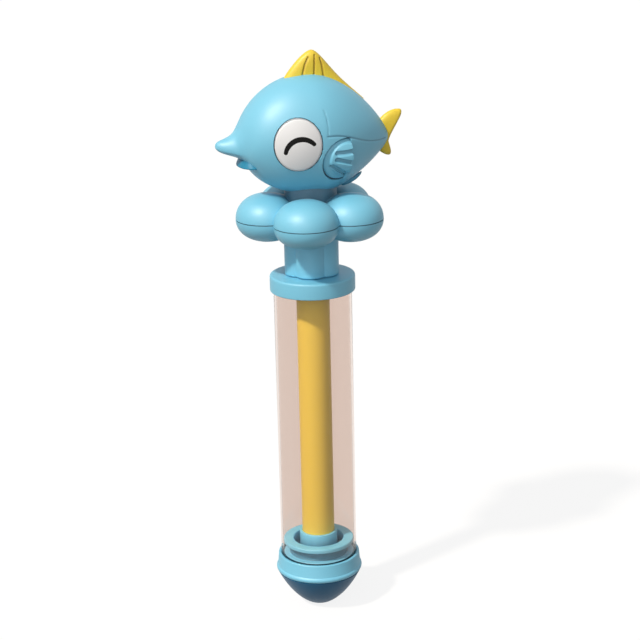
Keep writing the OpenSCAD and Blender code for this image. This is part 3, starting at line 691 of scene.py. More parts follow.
@dataclass
class SplashGrip(Assembly):
    """The hollow grip of lobes in two halves, with a petalled stem under it and a round neck over it."""

    lobe_count: int = 5
    lobe_offset: float = 22.0
    lobe_r: float = 16.26
    lobe_up: float = 12.8
    lobe_down: float = 11.2
    fullness: float = 2.3
    crown: float = 2.1
    seam: float = 212.8
    seam_w: float = 0.5
    seam_depth: float = 0.6
    seam_tone: float = 0.9
    petal_r: float = 8.3
    petal_offset: float = 5.8
    stem_flare: float = 2.4
    neck_r: float = 13.3
    neck_flare: float = 0.5
    neck_head: float = 231.1
    neck_shade: float = 0.82
    shade_reach: float = 12.5
    stem_foot: float = 182.8
    rod_seat_r: float = 8.55
    post_seat_r: float = 6.9
    edge: float = 0.9
    edge_lead: float = 0.4
    fillet_reach: float = 1.6
    fillet_clear: float = 0.5
    steps: int = 40
    bands: int = 46
    fillet_bands: int = 12
    edge_bands: int = 6

    def pieces(self) -> list[Piece]:
        """The two halves, which meet at the seam groove.

        Returns:
            The two pieces.
        """
        neck = np.full(self.lobe_count * self.steps, self.neck_r)
        petals = self._rims(self.petal_offset, self.petal_r)
        upper = self._half(neck, self.neck_flare, self.lobe_up, self.neck_head - self.seam, self.post_seat_r,
                           self.neck_shade)
        lower = self._half(petals, self.stem_flare, self.lobe_down, self.seam - self.stem_foot, self.rod_seat_r, 0.0)
        upper, lower = upper.placed(self.seam), lower.placed(self.seam, flip=True)
        return [
            Piece("grip_upper_half", upper, Body.PLUNGER, LIGHT_BLUE, ("splash_upper_shell",)),
            Piece("grip_lower_half", lower, Body.PLUNGER, LIGHT_BLUE, ("splash_lower_shell",)),
        ]

    def kept_nodes(self) -> dict[str, Finish]:
        """The post inside the grip and the fish."""
        return {"handle_post": GREY}

    def _turns(self) -> Array:
        """Angles round the axis, from the lobe over the fish's front."""
        return np.pi + turns(self.lobe_count * self.steps)

    def _off(self) -> Array:
        """Angle of each turn from the middle of its lobe.

        Returns:
            Array of angles, from 0 to half of a lobe's turn.
        """
        turn = 2 * np.pi / self.lobe_count
        within = (self._turns() - np.pi) % turn
        return np.minimum(within, turn - within)

    def _rims(self, offset: float, r: float) -> Array:
        """Distance from the axis to the far side of circles of radius r that stand off the axis."""
        off = self._off()
        return offset * np.cos(off) + np.sqrt(r * r - (offset * np.sin(off)) ** 2)

    def _height(self, radii: Array, tall: float) -> Array:
        """Height of the lobes: tall (1 - (d / lobe_r)^fullness)^(1 / crown), with d the way from a lobe's middle.

        Args:
            radii: Distances from the axis, a column for each turn.
            tall: Height of a lobe.

        Returns:
            Array of heights, nowhere under the seam groove.
        """
        off = self._off()
        away = np.hypot(radii * np.cos(off) - self.lobe_offset, radii * np.sin(off))
        swell = np.clip(1 - (away / self.lobe_r) ** self.fullness, 0.0, None)
        return np.maximum(tall * swell ** (1 / self.crown), self.seam_w / 2)

    def _half(self, inner: Array, flare: float, tall: float, end: float, bore_r: float, shade: float) -> Surface:
        """One half over a seam at height 0: rings from the seam over the lobes, up the stem and down the bore.

        The lobes meet the stem in a parabola from a point on the lobe to one on the stem, with the corner between.
        Painted shade darkens the place round the neck, where the fish's shadow falls, by the square of the nearness
        to it.

        Args:
            inner: Distance from the axis of the stem or neck.
            flare: Reach of the parabola.
            tall: Height of a lobe.
            end: Height of the end of the stem or neck.
            bore_r: Radius of the bore.
            shade: How dark the painted shade round the neck is, from 0 to 1.

        Returns:
            The surface, closed along the seam plane and the bore.
        """
        rims, flat = self._rims(self.lobe_offset, self.lobe_r), np.ones_like(inner)
        share = 1 - np.cos(np.linspace(0.0, np.pi / 2, self.bands))[:, None]
        radii = rims + (inner + flare - rims) * share
        heights = self._height(radii, tall)
        corner, t = self._height(inner, tall), np.linspace(0.0, 1.0, self.fillet_bands)[1:, None]
        foot = np.minimum(corner + self.fillet_reach * flare, end - self.edge - self.fillet_clear)
        bend_r = (1 - t) ** 2 * (inner + flare) + (1 - (1 - t) ** 2) * inner
        bend_h = (1 - t) ** 2 * heights[-1] + 2 * t * (1 - t) * corner + t**2 * foot
        turn = np.linspace(0.0, np.pi / 2, self.edge_bands)[:, None]
        groove = rims - self.seam_depth
        r = np.concatenate([[groove], [groove], radii, bend_r, [inner], inner - self.edge * (1 - np.cos(turn)),
                            [bore_r * flat], [bore_r * flat]])
        h = np.concatenate([[0 * flat], [self.seam_w / 2 * flat], heights, bend_h,
                            [(end - self.edge - self.edge_lead) * flat],
                            (end - self.edge * (1 - np.sin(turn))) * flat, [end * flat], [0 * flat]])
        # Painted shade round the neck and in the seam groove.
        depth = shade * np.clip(1 - (r - inner) / self.shade_reach, 0.0, 1.0) ** 2
        depth[:2] = self.seam_tone
        a = self._turns()
        points = np.stack([r * np.cos(a), r * np.sin(a), h], -1)
        return Surface(points.reshape(-1, 3), grid_quads(*r.shape, wrap_rows=True), gap=depth.ravel())


@dataclass
class Seat:
    """A place on the fish's left side.

    Attributes:
        origin: The point on the skin.
        axes: Columns are the local axes: X down, Y towards the tail, Z straight out.
    """

    origin: Array
    axes: Array

    def out(self, local: Array) -> Array:
        """Points of the seat's own axes in the part's frame."""
        return local @ self.axes.T + self.origin

    def into(self, points: Array) -> Array:
        """Points of the part's frame in the seat's own axes."""
        return (points - self.origin) @ self.axes


@dataclass
class FishSkin:
    """The fish's skin as a function of two parameters.

    u runs from the snout through three cubic arcs to the tail. At each u the back line and the belly line give the
    top and the foot of a section, and the flank line its half breadth. v turns round the section from -90 degrees
    at the belly to 90 at the back: from the section's widest place, x and z go to the top or the foot with sin v, and
    y = -half breadth * cos v. The widest place is half way up, and lower on the beak, which has a flat underside.
    """

    middle: float = 251.0
    snout: float = 47.4
    rear: float = 40.4
    crown: float = 33.7
    belly: float = 26.4
    breadth: float = 50.0
    beak_edge: float = 0.36
    beak_end: float = 1.5
    beak_fade: float = 0.8
    seat_range: tuple[float, float] = (0.5, 2.9)
    seat_steps: int = 20001

    def __post_init__(self) -> None:
        """Set the three outlines from the sizes: an arc a row, from its start over two leading points to its end."""
        p = np.array
        tip, rear = p([-self.snout, 0.0]), p([self.rear, 0.0])
        brow, crown = tip + (11.2, 9.0), p([0.0, self.crown])
        throat, belly = tip + (15.3, -10.3), p([3.5, -self.belly])
        cheek, flank = tip + (12.0, 10.4), p([4.0, self.breadth / 2])
        self.throat = throat
        self.back_line = p([[tip, tip + (0, 4), brow - (2.8, 6.7), brow],
                            [brow, brow + (4.7, 11.2), crown - (19.6, 0), crown],
                            [crown, crown + (20, 0), rear + (0, 7.1), rear]])
        self.belly_line = p([[tip, tip - (0, 5.2), throat + (-1, 5.7), throat],
                             [throat, throat + (0.3, -1.8), belly - (27.3, 0), belly],
                             [belly, belly + (13, 0), rear - (0, 5.5), rear]])
        self.flank_line = p([[tip, tip + (0, 4.7), cheek - (4.5, 3.4), cheek],
                             [cheek, cheek + (9, 6.8), flank - (20, 0), flank],
                             [flank, flank + (17, 0), rear + (0, 7.5), rear]])

    @staticmethod
    def along(line: Array, u: Array) -> Array:
        """Points of an outline of three arcs at the places u, from 0 to 3."""
        arc = np.minimum(u.astype(int), 2)
        return bezier(line[arc], u - arc)

    def at(self, u: Array, v: Array) -> Array:
        """Points of the left skin.

        Args:
            u: Places from snout to tail.
            v: Turns in degrees, of a shape that goes with u.

        Returns:
            Array of points in the part's frame.
        """
        u, v = np.broadcast_arrays(np.asarray(u, float), np.radians(np.asarray(v, float)))
        top, foot = self.along(self.back_line, u), self.along(self.belly_line, u)
        low = self.beak_edge * soft_step((self.beak_end - u) / self.beak_fade)[..., None]
        up = np.sin(v)[..., None]
        spot = (top + foot) / 2 + (top - foot) / 2 * (np.where(up > 0, 1 + low, 1 - low) * up - low)
        wide = self.along(self.flank_line, u)[..., 1]
        return np.stack([spot[..., 0], -wide * np.cos(v), spot[..., 1] + self.middle], -1)

    def seat(self, ahead: float, rise: float) -> Seat:
        """The place on the left flank at a distance in front of the axis and a height over the middle line.

        Args:
            ahead: Distance in front of the axis along the flank line.
            rise: Height over the middle line.

        Returns:
            The place with its axes.
        """
        u = np.linspace(*self.seat_range, self.seat_steps)
        u = u[np.abs(self.along(self.flank_line, u)[:, 0] + ahead).argmin()]
        top, foot = self.along(self.back_line, np.array(u))[1], self.along(self.belly_line, np.array(u))[1]
        v = math.degrees(math.asin((rise - (top + foot) / 2) / ((top - foot) / 2)))
        du, dv = 0.01, 1
        out = np.cross(self.at(u + du, v) - self.at(u - du, v), self.at(u, v + dv) - self.at(u, v - dv))
        out /= np.linalg.norm(out)
        tilt, turn = math.acos(out[2]), math.atan2(out[1], out[0])
        axes = Matrix.Rotation(turn, 3, "Z") @ Matrix.Rotation(tilt, 3, "Y")
        return Seat(self.at(u, v), np.array(axes))


@dataclass
class Eye:
    """A white domed oval inlay with a black curved line."""

    ahead: float = 6.5
    rise: float = 2.6
    wide: float = 23.3
    tall: float = 25.9
    crown_r: float = 36.0
    proud: float = 0.8
    depth: float = 3.2
    foot_clear: float = 0.05
    edge_drop: float = 0.55
    edge_from: float = 0.93
    edge_wide: float = 0.07
    edge_power: float = 2.2
    steps: int = 144
    rings: int = 40
    pole_turn: float = 0.04
    gap: float = 0.5
    line_r: float = 8.0
    line_w: float = 2.6
    line_taper: float = 0.28
    line_middle: tuple[float, float] = (4.8, 1.6)
    line_from: float = 131.0
    line_sweep: float = 129.0
    line_high: float = 0.10
    line_deep: float = 0.25
    line_steps: int = 120
    line_girth: int = 20
    line_tip: float = 0.02

    def edge(self, x: Array, y: Array) -> Array:
        """Distance outside the oval, below 0 inside: k (k - 1) over the slope of k, k the share of the radius.

        Args:
            x: Array of local places down the flank.
            y: Array of local places towards the tail.

        Returns:
            Array of distances.
        """
        a, b = self.tall / 2, self.wide / 2
        k = np.hypot(x / a, y / b)
        return k * (k - 1) / np.maximum(np.hypot(x / a**2, y / b**2), 1e-9)

    def dome(self, x: Array, y: Array) -> Array:
        """Height of the dome, part of a sphere of radius crown_r."""
        return self.proud - self.crown_r + np.sqrt(self.crown_r**2 - x**2 - y**2)

    def inlay(self, seat: Seat) -> Surface:
        """The inlay: ovals from the middle of its foot up its side, over a rounded edge and the dome.

        Args:
            seat: Place of the eye.

        Returns:
            A closed surface.
        """
        a = turns(self.steps)
        oval = np.stack([np.cos(a) * self.tall / 2, np.sin(a) * self.wide / 2], -1)
        share = inlay_shares(self.rings, self.pole_turn)
        bevel = np.clip((share[3:] - self.edge_from) / self.edge_wide, 0, 1) ** self.edge_power
        drop = np.concatenate([[0, 0, 0], self.edge_drop * bevel])
        plan = share[:, None, None] * oval
        z = self.dome(plan[..., 0], plan[..., 1]) - drop[:, None]
        z[:2] = -self.depth + self.foot_clear
        return closed_by_poles(seat.out(np.concatenate([plan, z[..., None]], -1)))

    def line(self, seat: Seat) -> Surface:
        """The black line: a low half-round band along an arc on the dome, thinner and rounded at its ends.

        Args:
            seat: Place of the eye.

        Returns:
            A closed surface.
        """
        along = np.sin(np.linspace(-np.pi / 2, np.pi / 2, self.line_steps))
        cap = self.line_w / 2 * (1 - self.line_taper) / self.line_r
        sweep = math.radians(self.line_sweep) / 2 + cap
        turn = math.radians(self.line_from + self.line_sweep / 2) + sweep * along
        beyond = np.clip((np.abs(along) * sweep - (sweep - cap)) / cap, 0.0, 1.0)
        ends = np.maximum(np.sqrt(1 - beyond**2), self.line_tip)
        half = self.line_w / 2 * (1.0 - self.line_taper * along**2) * ends
        s = turns(self.line_girth)
        r = self.line_r + half[:, None] * np.cos(s)
        x = self.line_middle[0] + r * np.cos(turn)[:, None]
        y = self.line_middle[1] + r * np.sin(turn)[:, None]
        z = self.dome(x, y) + np.where(np.sin(s) > 0, self.line_high, self.line_deep) * np.sin(s) * ends[:, None]
        return closed_by_poles(seat.out(np.stack([x, y, z], -1))[::-1])


@dataclass
class SideFin:
    """A fin in a round recess: a round vault that rises to a straight edge, on a plate, with slots that fan out."""

    back: float = 15.4
    drop: float = 7.1
    r: float = 11.3
    cut: float = 2.4
    corner_power: int = 14
    corner_reach: float = 1.02
    depth: float = 3.2
    foot_clear: float = 0.05
    edge_drop: float = 0.5
    edge_from: float = 0.92
    edge_wide: float = 0.08
    steps: int = 360
    rings: int = 100
    pole_turn: float = 0.02
    vault_at: tuple[float, float] = (-1.0, 0.6)
    vault_r: float = 8.9
    vault_edge: float = 0.7
    vault_crown_r: float = 20.0
    step: float = 0.7
    rise: float = 17.0
    plate_r: float = 27.0
    gap: float = 0.45
    slot_angles: tuple[float, ...] = (-9.0, 9.0, 32.0)
    slot_apex: tuple[float, float] = (-3.2, -15.0)
    slot_from: float = 10.0
    slot_w: float = 2.1
    slot_depth: float = 1.4
    slot_ease: float = 0.9
    slot_tone: float = 0.32

    def edge(self, x: Array, y: Array) -> Array:
        """Distance outside the round that is cut straight, below 0 inside."""
        return np.maximum(np.hypot(x, y) - self.r, y - self.cut)

    def _top(self, x: Array, y: Array) -> Array:
        """Height of the fin: the plate, a piece of a sphere, and on it the vault.

        The vault lies in a circle with a soft edge. It starts with a step at the front, rises straight to the tail
        and falls off with the square of the way up or down from its middle.

        Args:
            x: Array of local places down the flank.
            y: Array of local places towards the tail.

        Returns:
            Array of heights.
        """
        plate = np.sqrt(self.plate_r**2 - x**2 - y**2) - self.plate_r
        x, y = x - self.vault_at[0], y - self.vault_at[1]
        within = soft_step((self.vault_r - np.hypot(x, y)) / self.vault_edge)
        lift = self.step + math.tan(math.radians(self.rise)) * (y + self.vault_r) - x**2 / (2 * self.vault_crown_r)
        return plate + within * np.maximum(lift, 0.0)

    def inlay(self, seat: Seat) -> Surface:
        """The fin: rings from its foot up its side and over its top, pressed down along the slots, with painted shade
        in them.

        The outline is the round that is cut straight, with its two corners rounded: the sum of two radii to a high
        negative power, taken to the root again, lies just inside the lesser of them.

        Args:
            seat: Place of the fin.

        Returns:
            A closed surface.
        """
        a = turns(self.steps)
        straight = self.cut / np.maximum(np.sin(a), 1e-3)
        rim = np.where(np.sin(a) > 0, np.minimum(self.r, straight), self.r)
        power = -self.corner_power
        rim = (rim**power + (self.r * self.corner_reach) ** power) ** (1 / power)
        share = inlay_shares(self.rings, self.pole_turn)[:, None]
        x, y = share * rim * np.cos(a), share * rim * np.sin(a)
        slots = self._slots(x, y)
        bevel = np.clip((share - self.edge_from) / self.edge_wide, 0, 1) ** 2
        z = self._top(x, y) - self.edge_drop * bevel - self.slot_depth * slots
        z[:2] = -self.depth + self.foot_clear
        # Painted shade in the slots.
        return closed_by_poles(seat.out(np.stack([x, y, z], -1)), self.slot_tone * slots)

    def _slots(self, x: Array, y: Array) -> Array:
        """How far inside a slot each place is, from 0 to 1: a soft step across each slot's rounded outline.

        Args:
            x: Array of local places down the flank.
            y: Array of local places towards the tail.

        Returns:
            Array of shares.
        """
        turn = np.radians(self.slot_angles)
        rel_x, rel_y = x[..., None] - self.slot_apex[0], y[..., None] - self.slot_apex[1]
        along = rel_y * np.cos(turn) + rel_x * np.sin(turn) - self.slot_from
        off = rel_x * np.cos(turn) - rel_y * np.sin(turn)
        away = np.hypot(off, np.minimum(along, 0.0)) - self.slot_w / 2
        return soft_step(0.5 - away / self.slot_ease).max(-1)


@dataclass
class PlateFin:
    """A fin in the middle plane: a plate with a rounded edge, from a closed chain of cubic arcs in shares of a box.

    Attributes:
        low: Front low corner of the box, in distance along X and height over the middle line.
        high: Rear high corner of the box.
        shares: The chain's points, three to an arc, in shares of the box.
        heart: The point that the plate's rings close in on, in shares of the box.
        thick: Thickness at the heart.
        grooves: Lines pressed into both faces, in distance along X and height over the middle line.
        groove_w: Half width of a groove.
        groove_depth: Depth of a groove.
        groove_keep: Share of that depth that stays uncut where the plate thins out.
        groove_tone: How far a groove's bottom goes to the painted shade colour.
        edge_power: How late the plate thins out towards its edge.
        edge_root: How round the edge is.
        pole_turn: Turn at which the innermost ring stands off the heart.
        arc_steps: Points of one arc.
        rings: Number of rings.
    """

    low: tuple[float, float]
    high: tuple[float, float]
    shares: tuple[tuple[float, float], ...]
    heart: tuple[float, float]
    thick: float
    grooves: tuple[tuple[tuple[float, float], ...], ...] = ()
    groove_w: float = 0.42
    groove_depth: float = 0.6
    groove_keep: float = 0.4
    groove_tone: float = 0.8
    edge_power: int = 5
    edge_root: float = 2.2
    pole_turn: float = 0.03
    arc_steps: int = 64
    rings: int = 121

    def plate(self, middle: float) -> Surface:
        """Rings of the outline drawn in to the heart, on one face, round the edge and on the other.

        The half thickness is thick / 2 (1 - s^edge_power)^(1 / edge_root), with s the share of the way from the heart
        to the outline.

        Args:
            middle: Height of the fish's middle line.

        Returns:
            A closed surface.
        """
        low, box = np.array(self.low), np.subtract(self.high, self.low)
        points, heart = low + np.array(self.shares) * box, low + np.array(self.heart) * box
        arcs = points[(np.arange(0, len(points), 3)[:, None] + np.arange(4)) % len(points)]
        along = np.linspace(0.0, 1.0, self.arc_steps, endpoint=False)
        along = np.broadcast_to(along, (len(arcs), self.arc_steps))
        outline = bezier(arcs[:, None], along).reshape(-1, 2)
        t = np.linspace(self.pole_turn, np.pi - self.pole_turn, self.rings)
        s = np.sin(t)[:, None, None]
        flat = heart + (outline - heart) * s
        thin = np.clip(1 - s[..., 0] ** self.edge_power, 0.0, None) ** (1 / self.edge_root)
        half = self.thick / 2 * thin + 0 * flat[..., 0]
        gap = np.zeros_like(half)
        for line in self.grooves:
            near = reach_to(np.array(line), flat[..., 0], flat[..., 1]) / self.groove_w
            gap = np.maximum(gap, np.exp(-(near**2)))
        half = half - self.groove_depth * gap * np.clip(half / self.groove_depth - self.groove_keep, 0.0, 1.0)
        y = np.where(t[:, None] < np.pi / 2, -half, half)
        rings = np.stack([flat[..., 0], y, flat[..., 1] + middle], -1)
        # Painted shade in the grooves.
        return closed_by_poles(rings[::-1], self.groove_tone * gap[::-1])


BACK_FIN = PlateFin(
    (-12.2, 19.3), (28.5, 45.1),
    ((0, 0.47), (0.07, 0.65), (0.25, 0.99), (0.35, 1), (0.42, 1), (0.53, 0.74), (0.65, 0.53), (0.76, 0.34),
     (0.88, 0.18), (1, 0), (0.79, 0.14), (0.35, 0.39)),
    (0.42, 0.52), 7.0,
    (((-3.4, 31.5), (-2.9, 34.5), (-1.8, 38.4), (-0.1, 41.7)), ((2.5, 31.5), (2.7, 34.2), (3.1, 42.6)),
     ((7.3, 31.5), (7.1, 33.9), (6.6, 38.0), (5.8, 41.0))))
TAIL_FIN = PlateFin(
    (31.0, -9.6), (47.57, 13.2),
    ((0, 0.46), (0.18, 0.73), (0.52, 1.04), (0.93, 1), (1.02, 1), (1.01, 0.9), (0.94, 0.82), (0.82, 0.65),
     (0.62, 0.44), (0.58, 0.31), (0.6, 0.2), (0.7, 0.07), (0.63, 0), (0.54, -0.07), (0.03, 0.16)),
    (0.39, 0.4), 5.0)
BELLY_FIN = PlateFin(
    (15.4, -24.0), (26.6, -17.4),
    ((0, 0.52), (0.18, 0.64), (0.29, 0.73), (0.43, 0.67), (0.48, 0.46), (0.79, 0.71), (1, 1), (1.02, 0.67),
     (0.54, 0.09), (0.14, 0), (0.04, -0.03), (-0.04, 0.3)),
    (0.34, 0.39), 2.6)


@dataclass(frozen=True)
class Crease:
    """A fine line pressed into the fish's flank.

    Attributes:
        arc: Four points of a cubic arc, in distance along X and height over the middle line.
        width: Half width.
        depth: Depth.
        shade: How dark the painted shade at its bottom is, from 0 to 1.
    """

    arc: tuple[tuple[float, float], ...]
    width: float
    depth: float
    shade: float


@dataclass
class Fish(Assembly):
    """The fish: two shells with recesses and creases, a lower lip, eyes, side fins and the fins in the middle."""

    skin: FishSkin = field(default_factory=FishSkin)
    eye: Eye = field(default_factory=Eye)
    side_fin: SideFin = field(default_factory=SideFin)
    lip_r: float = 5.5
    lip_breadth: float = 19.0
    lip_lean: float = -1.9
    lip_t: float = 4.6
    lip_rise: float = 4.4
    lip_back: float = 2.3
    lip_edge: float = 0.6
    lip_pole: float = 0.4
    lip_girth: int = 120
    lip_rings: int = 30
    lip_tone: float = 0.5
    lip_tone_from: float = 0.1
    lip_tone_fade: float = 0.6
    parting_depth: float = 0.12
    parting_tone: float = 0.3
    stations: tuple[int, int, int] = (56, 120, 130)
    crowding: float = 1.3
    snout_start: float = 0.0925
    tail_start: float = 0.004
    girth: int = 240
    crease_steps: int = 40
    ease_passes: int = 240
    ease_reach: float = 0.22
    recess_reach: tuple[float, float] = (20.0, 9.0)
    recess_slope: float = 0.2
    recess_snap: float = 0.26
    creases: tuple[Crease, ...] = (
        Crease(((4.4, 6.0), (17.5, 6.9), (23.0, -0.8), (37.6, 0.0)), 0.38, 0.4, 0.45),
        Crease(((3.2, 18.8), (4.3, 14.9), (5.1, 10.5), (4.4, 6.2)), 0.3, 0.25, 0.2),
    )

    def pieces(self) -> list[Piece]:
        """The shells and what they hold, the right side as the mirror of the left, then the lip and the fins.

        Returns:
            The pieces.
        """
        eye_seat = self.skin.seat(self.eye.ahead, self.eye.rise)
        fin_seat = self.skin.seat(-self.side_fin.back, -self.side_fin.drop)
        sided = (
            ("fish_half", self._shell(eye_seat, fin_seat), LIGHT_BLUE, "fish_{}_shell"),
            ("eye_inlay", self.eye.inlay(eye_seat), WHITE, "{}_eye"),
            ("eye_line", self.eye.line(eye_seat), BLACK, None),
            ("gill_fin", self.side_fin.inlay(fin_seat), LIGHT_BLUE, "{}_side_fin"),
        )
        made = []
        for side in Side:
            for word, shape, finish, node in sided:
                surface = shape if side is Side.LEFT else shape.mirrored()
                nodes = () if node is None else (node.format(side.value),)
                made.append(Piece(f"{side.value}_{word}", surface, Body.PLUNGER, finish, nodes))
        made.append(Piece("lower_lip", self._lip(), Body.PLUNGER, LIP_SHADED_BLUE))
        for name, fin, finish, node in (
            ("ribbed_back_fin", BACK_FIN, YELLOW, "back_fin"),
            ("forked_tail_fin", TAIL_FIN, YELLOW, "tail_fin"),
            ("small_belly_fin", BELLY_FIN, FIN_BLUE, "belly_fin"),
        ):
            made.append(Piece(name, fin.plate(self.skin.middle), Body.PLUNGER, finish, (node,)))
        return made

    def _shell(self, eye_seat: Seat, fin_seat: Seat) -> Surface:
        """The left half: the skin on a fine grid, pressed in at the creases and recesses, closed at the middle plane.

        The rows crowd towards the snout and the tail, by a power of the share of the way, and fans close both ends.

        Args:
            eye_seat: Place of the eye.
            fin_seat: Place of the side fin.

        Returns:
            The half shell.
        """
        tip, head, tail = self.stations
        u = np.concatenate([np.linspace(self.snout_start, 1, tip, endpoint=False) ** self.crowding,
                            np.linspace(1, 2, head, endpoint=False),
                            3 - np.linspace(1, self.tail_start, tail) ** self.crowding])
        v = np.linspace(-90.0, 90.0, self.girth)
        points = self._eased(self.skin.at(u[:, None], v[None, :]), u, v)
        out = np.cross(np.gradient(points, axis=0), np.gradient(points, axis=1))
        out /= np.maximum(np.linalg.norm(out, axis=-1, keepdims=True), 1e-12)
        # Painted shade along the parting line and in the creases.
        gap = np.zeros(points.shape[:2])
        gap[:, [0, -1]] = self.parting_tone
        points[:, [0, -1], 2] -= np.sign(v[[0, -1]]) * self.parting_depth
        for crease in self.creases:
            line = bezier(np.array(crease.arc), np.linspace(0.0, 1.0, self.crease_steps))
            near = reach_to(line, points[..., 0], points[..., 2] - self.skin.middle) / crease.width
            near = np.exp(-(near**2))
            points = points - out * (crease.depth * near)[..., None]
            gap = np.maximum(gap, crease.shade * near)
        for seat, inlay in ((eye_seat, self.eye), (fin_seat, self.side_fin)):
            points, inside = self._recess(points, out, seat, inlay)
            # Painted shade on the floor of each recess, seen as the dark line round the inlay.
            gap = np.where(inside, 1.0, gap)
        rows, columns = points.shape[:2]
        k = np.arange(1, columns - 1)
        first = np.stack([0 * k, k + 1, k], -1)
        last = (rows - 1) * columns + np.stack([0 * k, k, k + 1], -1)
        tris = np.concatenate([first, last])[:, ::-1]
        return Surface(points.reshape(-1, 3), grid_quads(rows, columns)[:, ::-1], tris, gap.ravel())

    def _eased(self, points: Array, u: Array, v: Array) -> Array:
        """Round the joint of the beak and the head: rows near it move towards a running mean of their neighbours.

        Args:
            points: Grid of points.
            u: Places of the rows from snout to tail.
            v: Turns of the columns in degrees.

        Returns:
            The new points, unchanged far from the joint and in the middle plane.
        """
        mean = points
        for _ in range(self.ease_passes):
            mean = np.concatenate([mean[:1], (mean[:-2] + 2 * mean[1:-1] + mean[2:]) / 4, mean[-1:]])
        share = np.exp(-(((u - 1) / self.ease_reach) ** 2))[:, None] * np.sqrt(np.abs(np.cos(np.radians(v))))
        return points + share[..., None] * (mean - points)

    def _recess(self, points: Array, out: Array, seat: Seat, inlay: Eye | SideFin) -> tuple[Array, Array]:
        """Sink the skin inside an inlay's outline to a flat floor, with the nearest points moved onto the outline.

        Args:
            points: Grid of points.
            out: Outward directions at the points.
            seat: Place of the recess.
            inlay: What lies in the recess, with its outline, the gap round it and its depth.

        Returns:
            The new points, and which of them lie inside.
        """
        local, slope = seat.into(points), out @ seat.axes
        x, y, z = local[..., 0], local[..., 1], local[..., 2]
        wide, high = self.recess_reach
        near = (np.abs(z) < high) & (np.hypot(x, y) < wide) & (slope[..., 2] > self.recess_slope)
        edge, step = inlay.edge, 1e-3
        far = edge(x, y) - inlay.gap
        grad = np.stack([edge(x + step, y) - edge(x - step, y), edge(x, y + step) - edge(x, y - step)], -1)
        grad /= 2 * step
        snap = near & (np.abs(far) < self.recess_snap)
        move = np.where(snap[..., None], -far[..., None] * grad, 0.0)
        lift = -(move * slope[..., :2]).sum(-1) / np.where(near, slope[..., 2], 1.0)
        inside = near & (far < 0.0) & ~snap
        z = np.where(inside, np.minimum(z, -inlay.depth), z + lift)
        local = np.stack([x + move[..., 0], y + move[..., 1], z], -1)
        return np.where(near[..., None], seat.out(local), points), inside

    def _lip(self) -> Surface:
        """The lower lip: an oval wedge that widens to its foot, in rings from foot to top with rounded edges.

        The radius shrinks by lip_edge (1 - (1 - h^6)^(1/2)) towards the ends, with h from -1 at the foot to 1 at the
        top, where painted shade from the beak above darkens the lip.

        Returns:
            A closed surface.
        """
        a = turns(self.lip_girth)
        h = np.sin(np.linspace(-np.pi / 2, np.pi / 2, self.lip_rings))
        edge = (1 - np.abs(h) ** 6) ** 0.5
        r = (self.lip_r - self.lip_lean * (1 - h) / 2 - self.lip_edge * (1 - edge))[:, None]
        r[[0, -1]] *= self.lip_pole
        top = self.skin.middle + self.skin.throat[1] + self.lip_rise
        x = self.skin.throat[0] + self.lip_back + r * np.cos(a)
        z = top - self.lip_t * (1 - h)[:, None] / 2 + 0 * a
        y = r * np.sin(a) * self.lip_breadth / (2 * self.lip_r)
        # Painted shade from the beak above, on the upper part of the lip.
        shade = self.lip_tone * np.clip((h - self.lip_tone_from) / self.lip_tone_fade, 0.0, 1.0)
        return closed_by_poles(np.stack([x, y, z], -1), np.repeat(shade[:, None], len(a), 1))


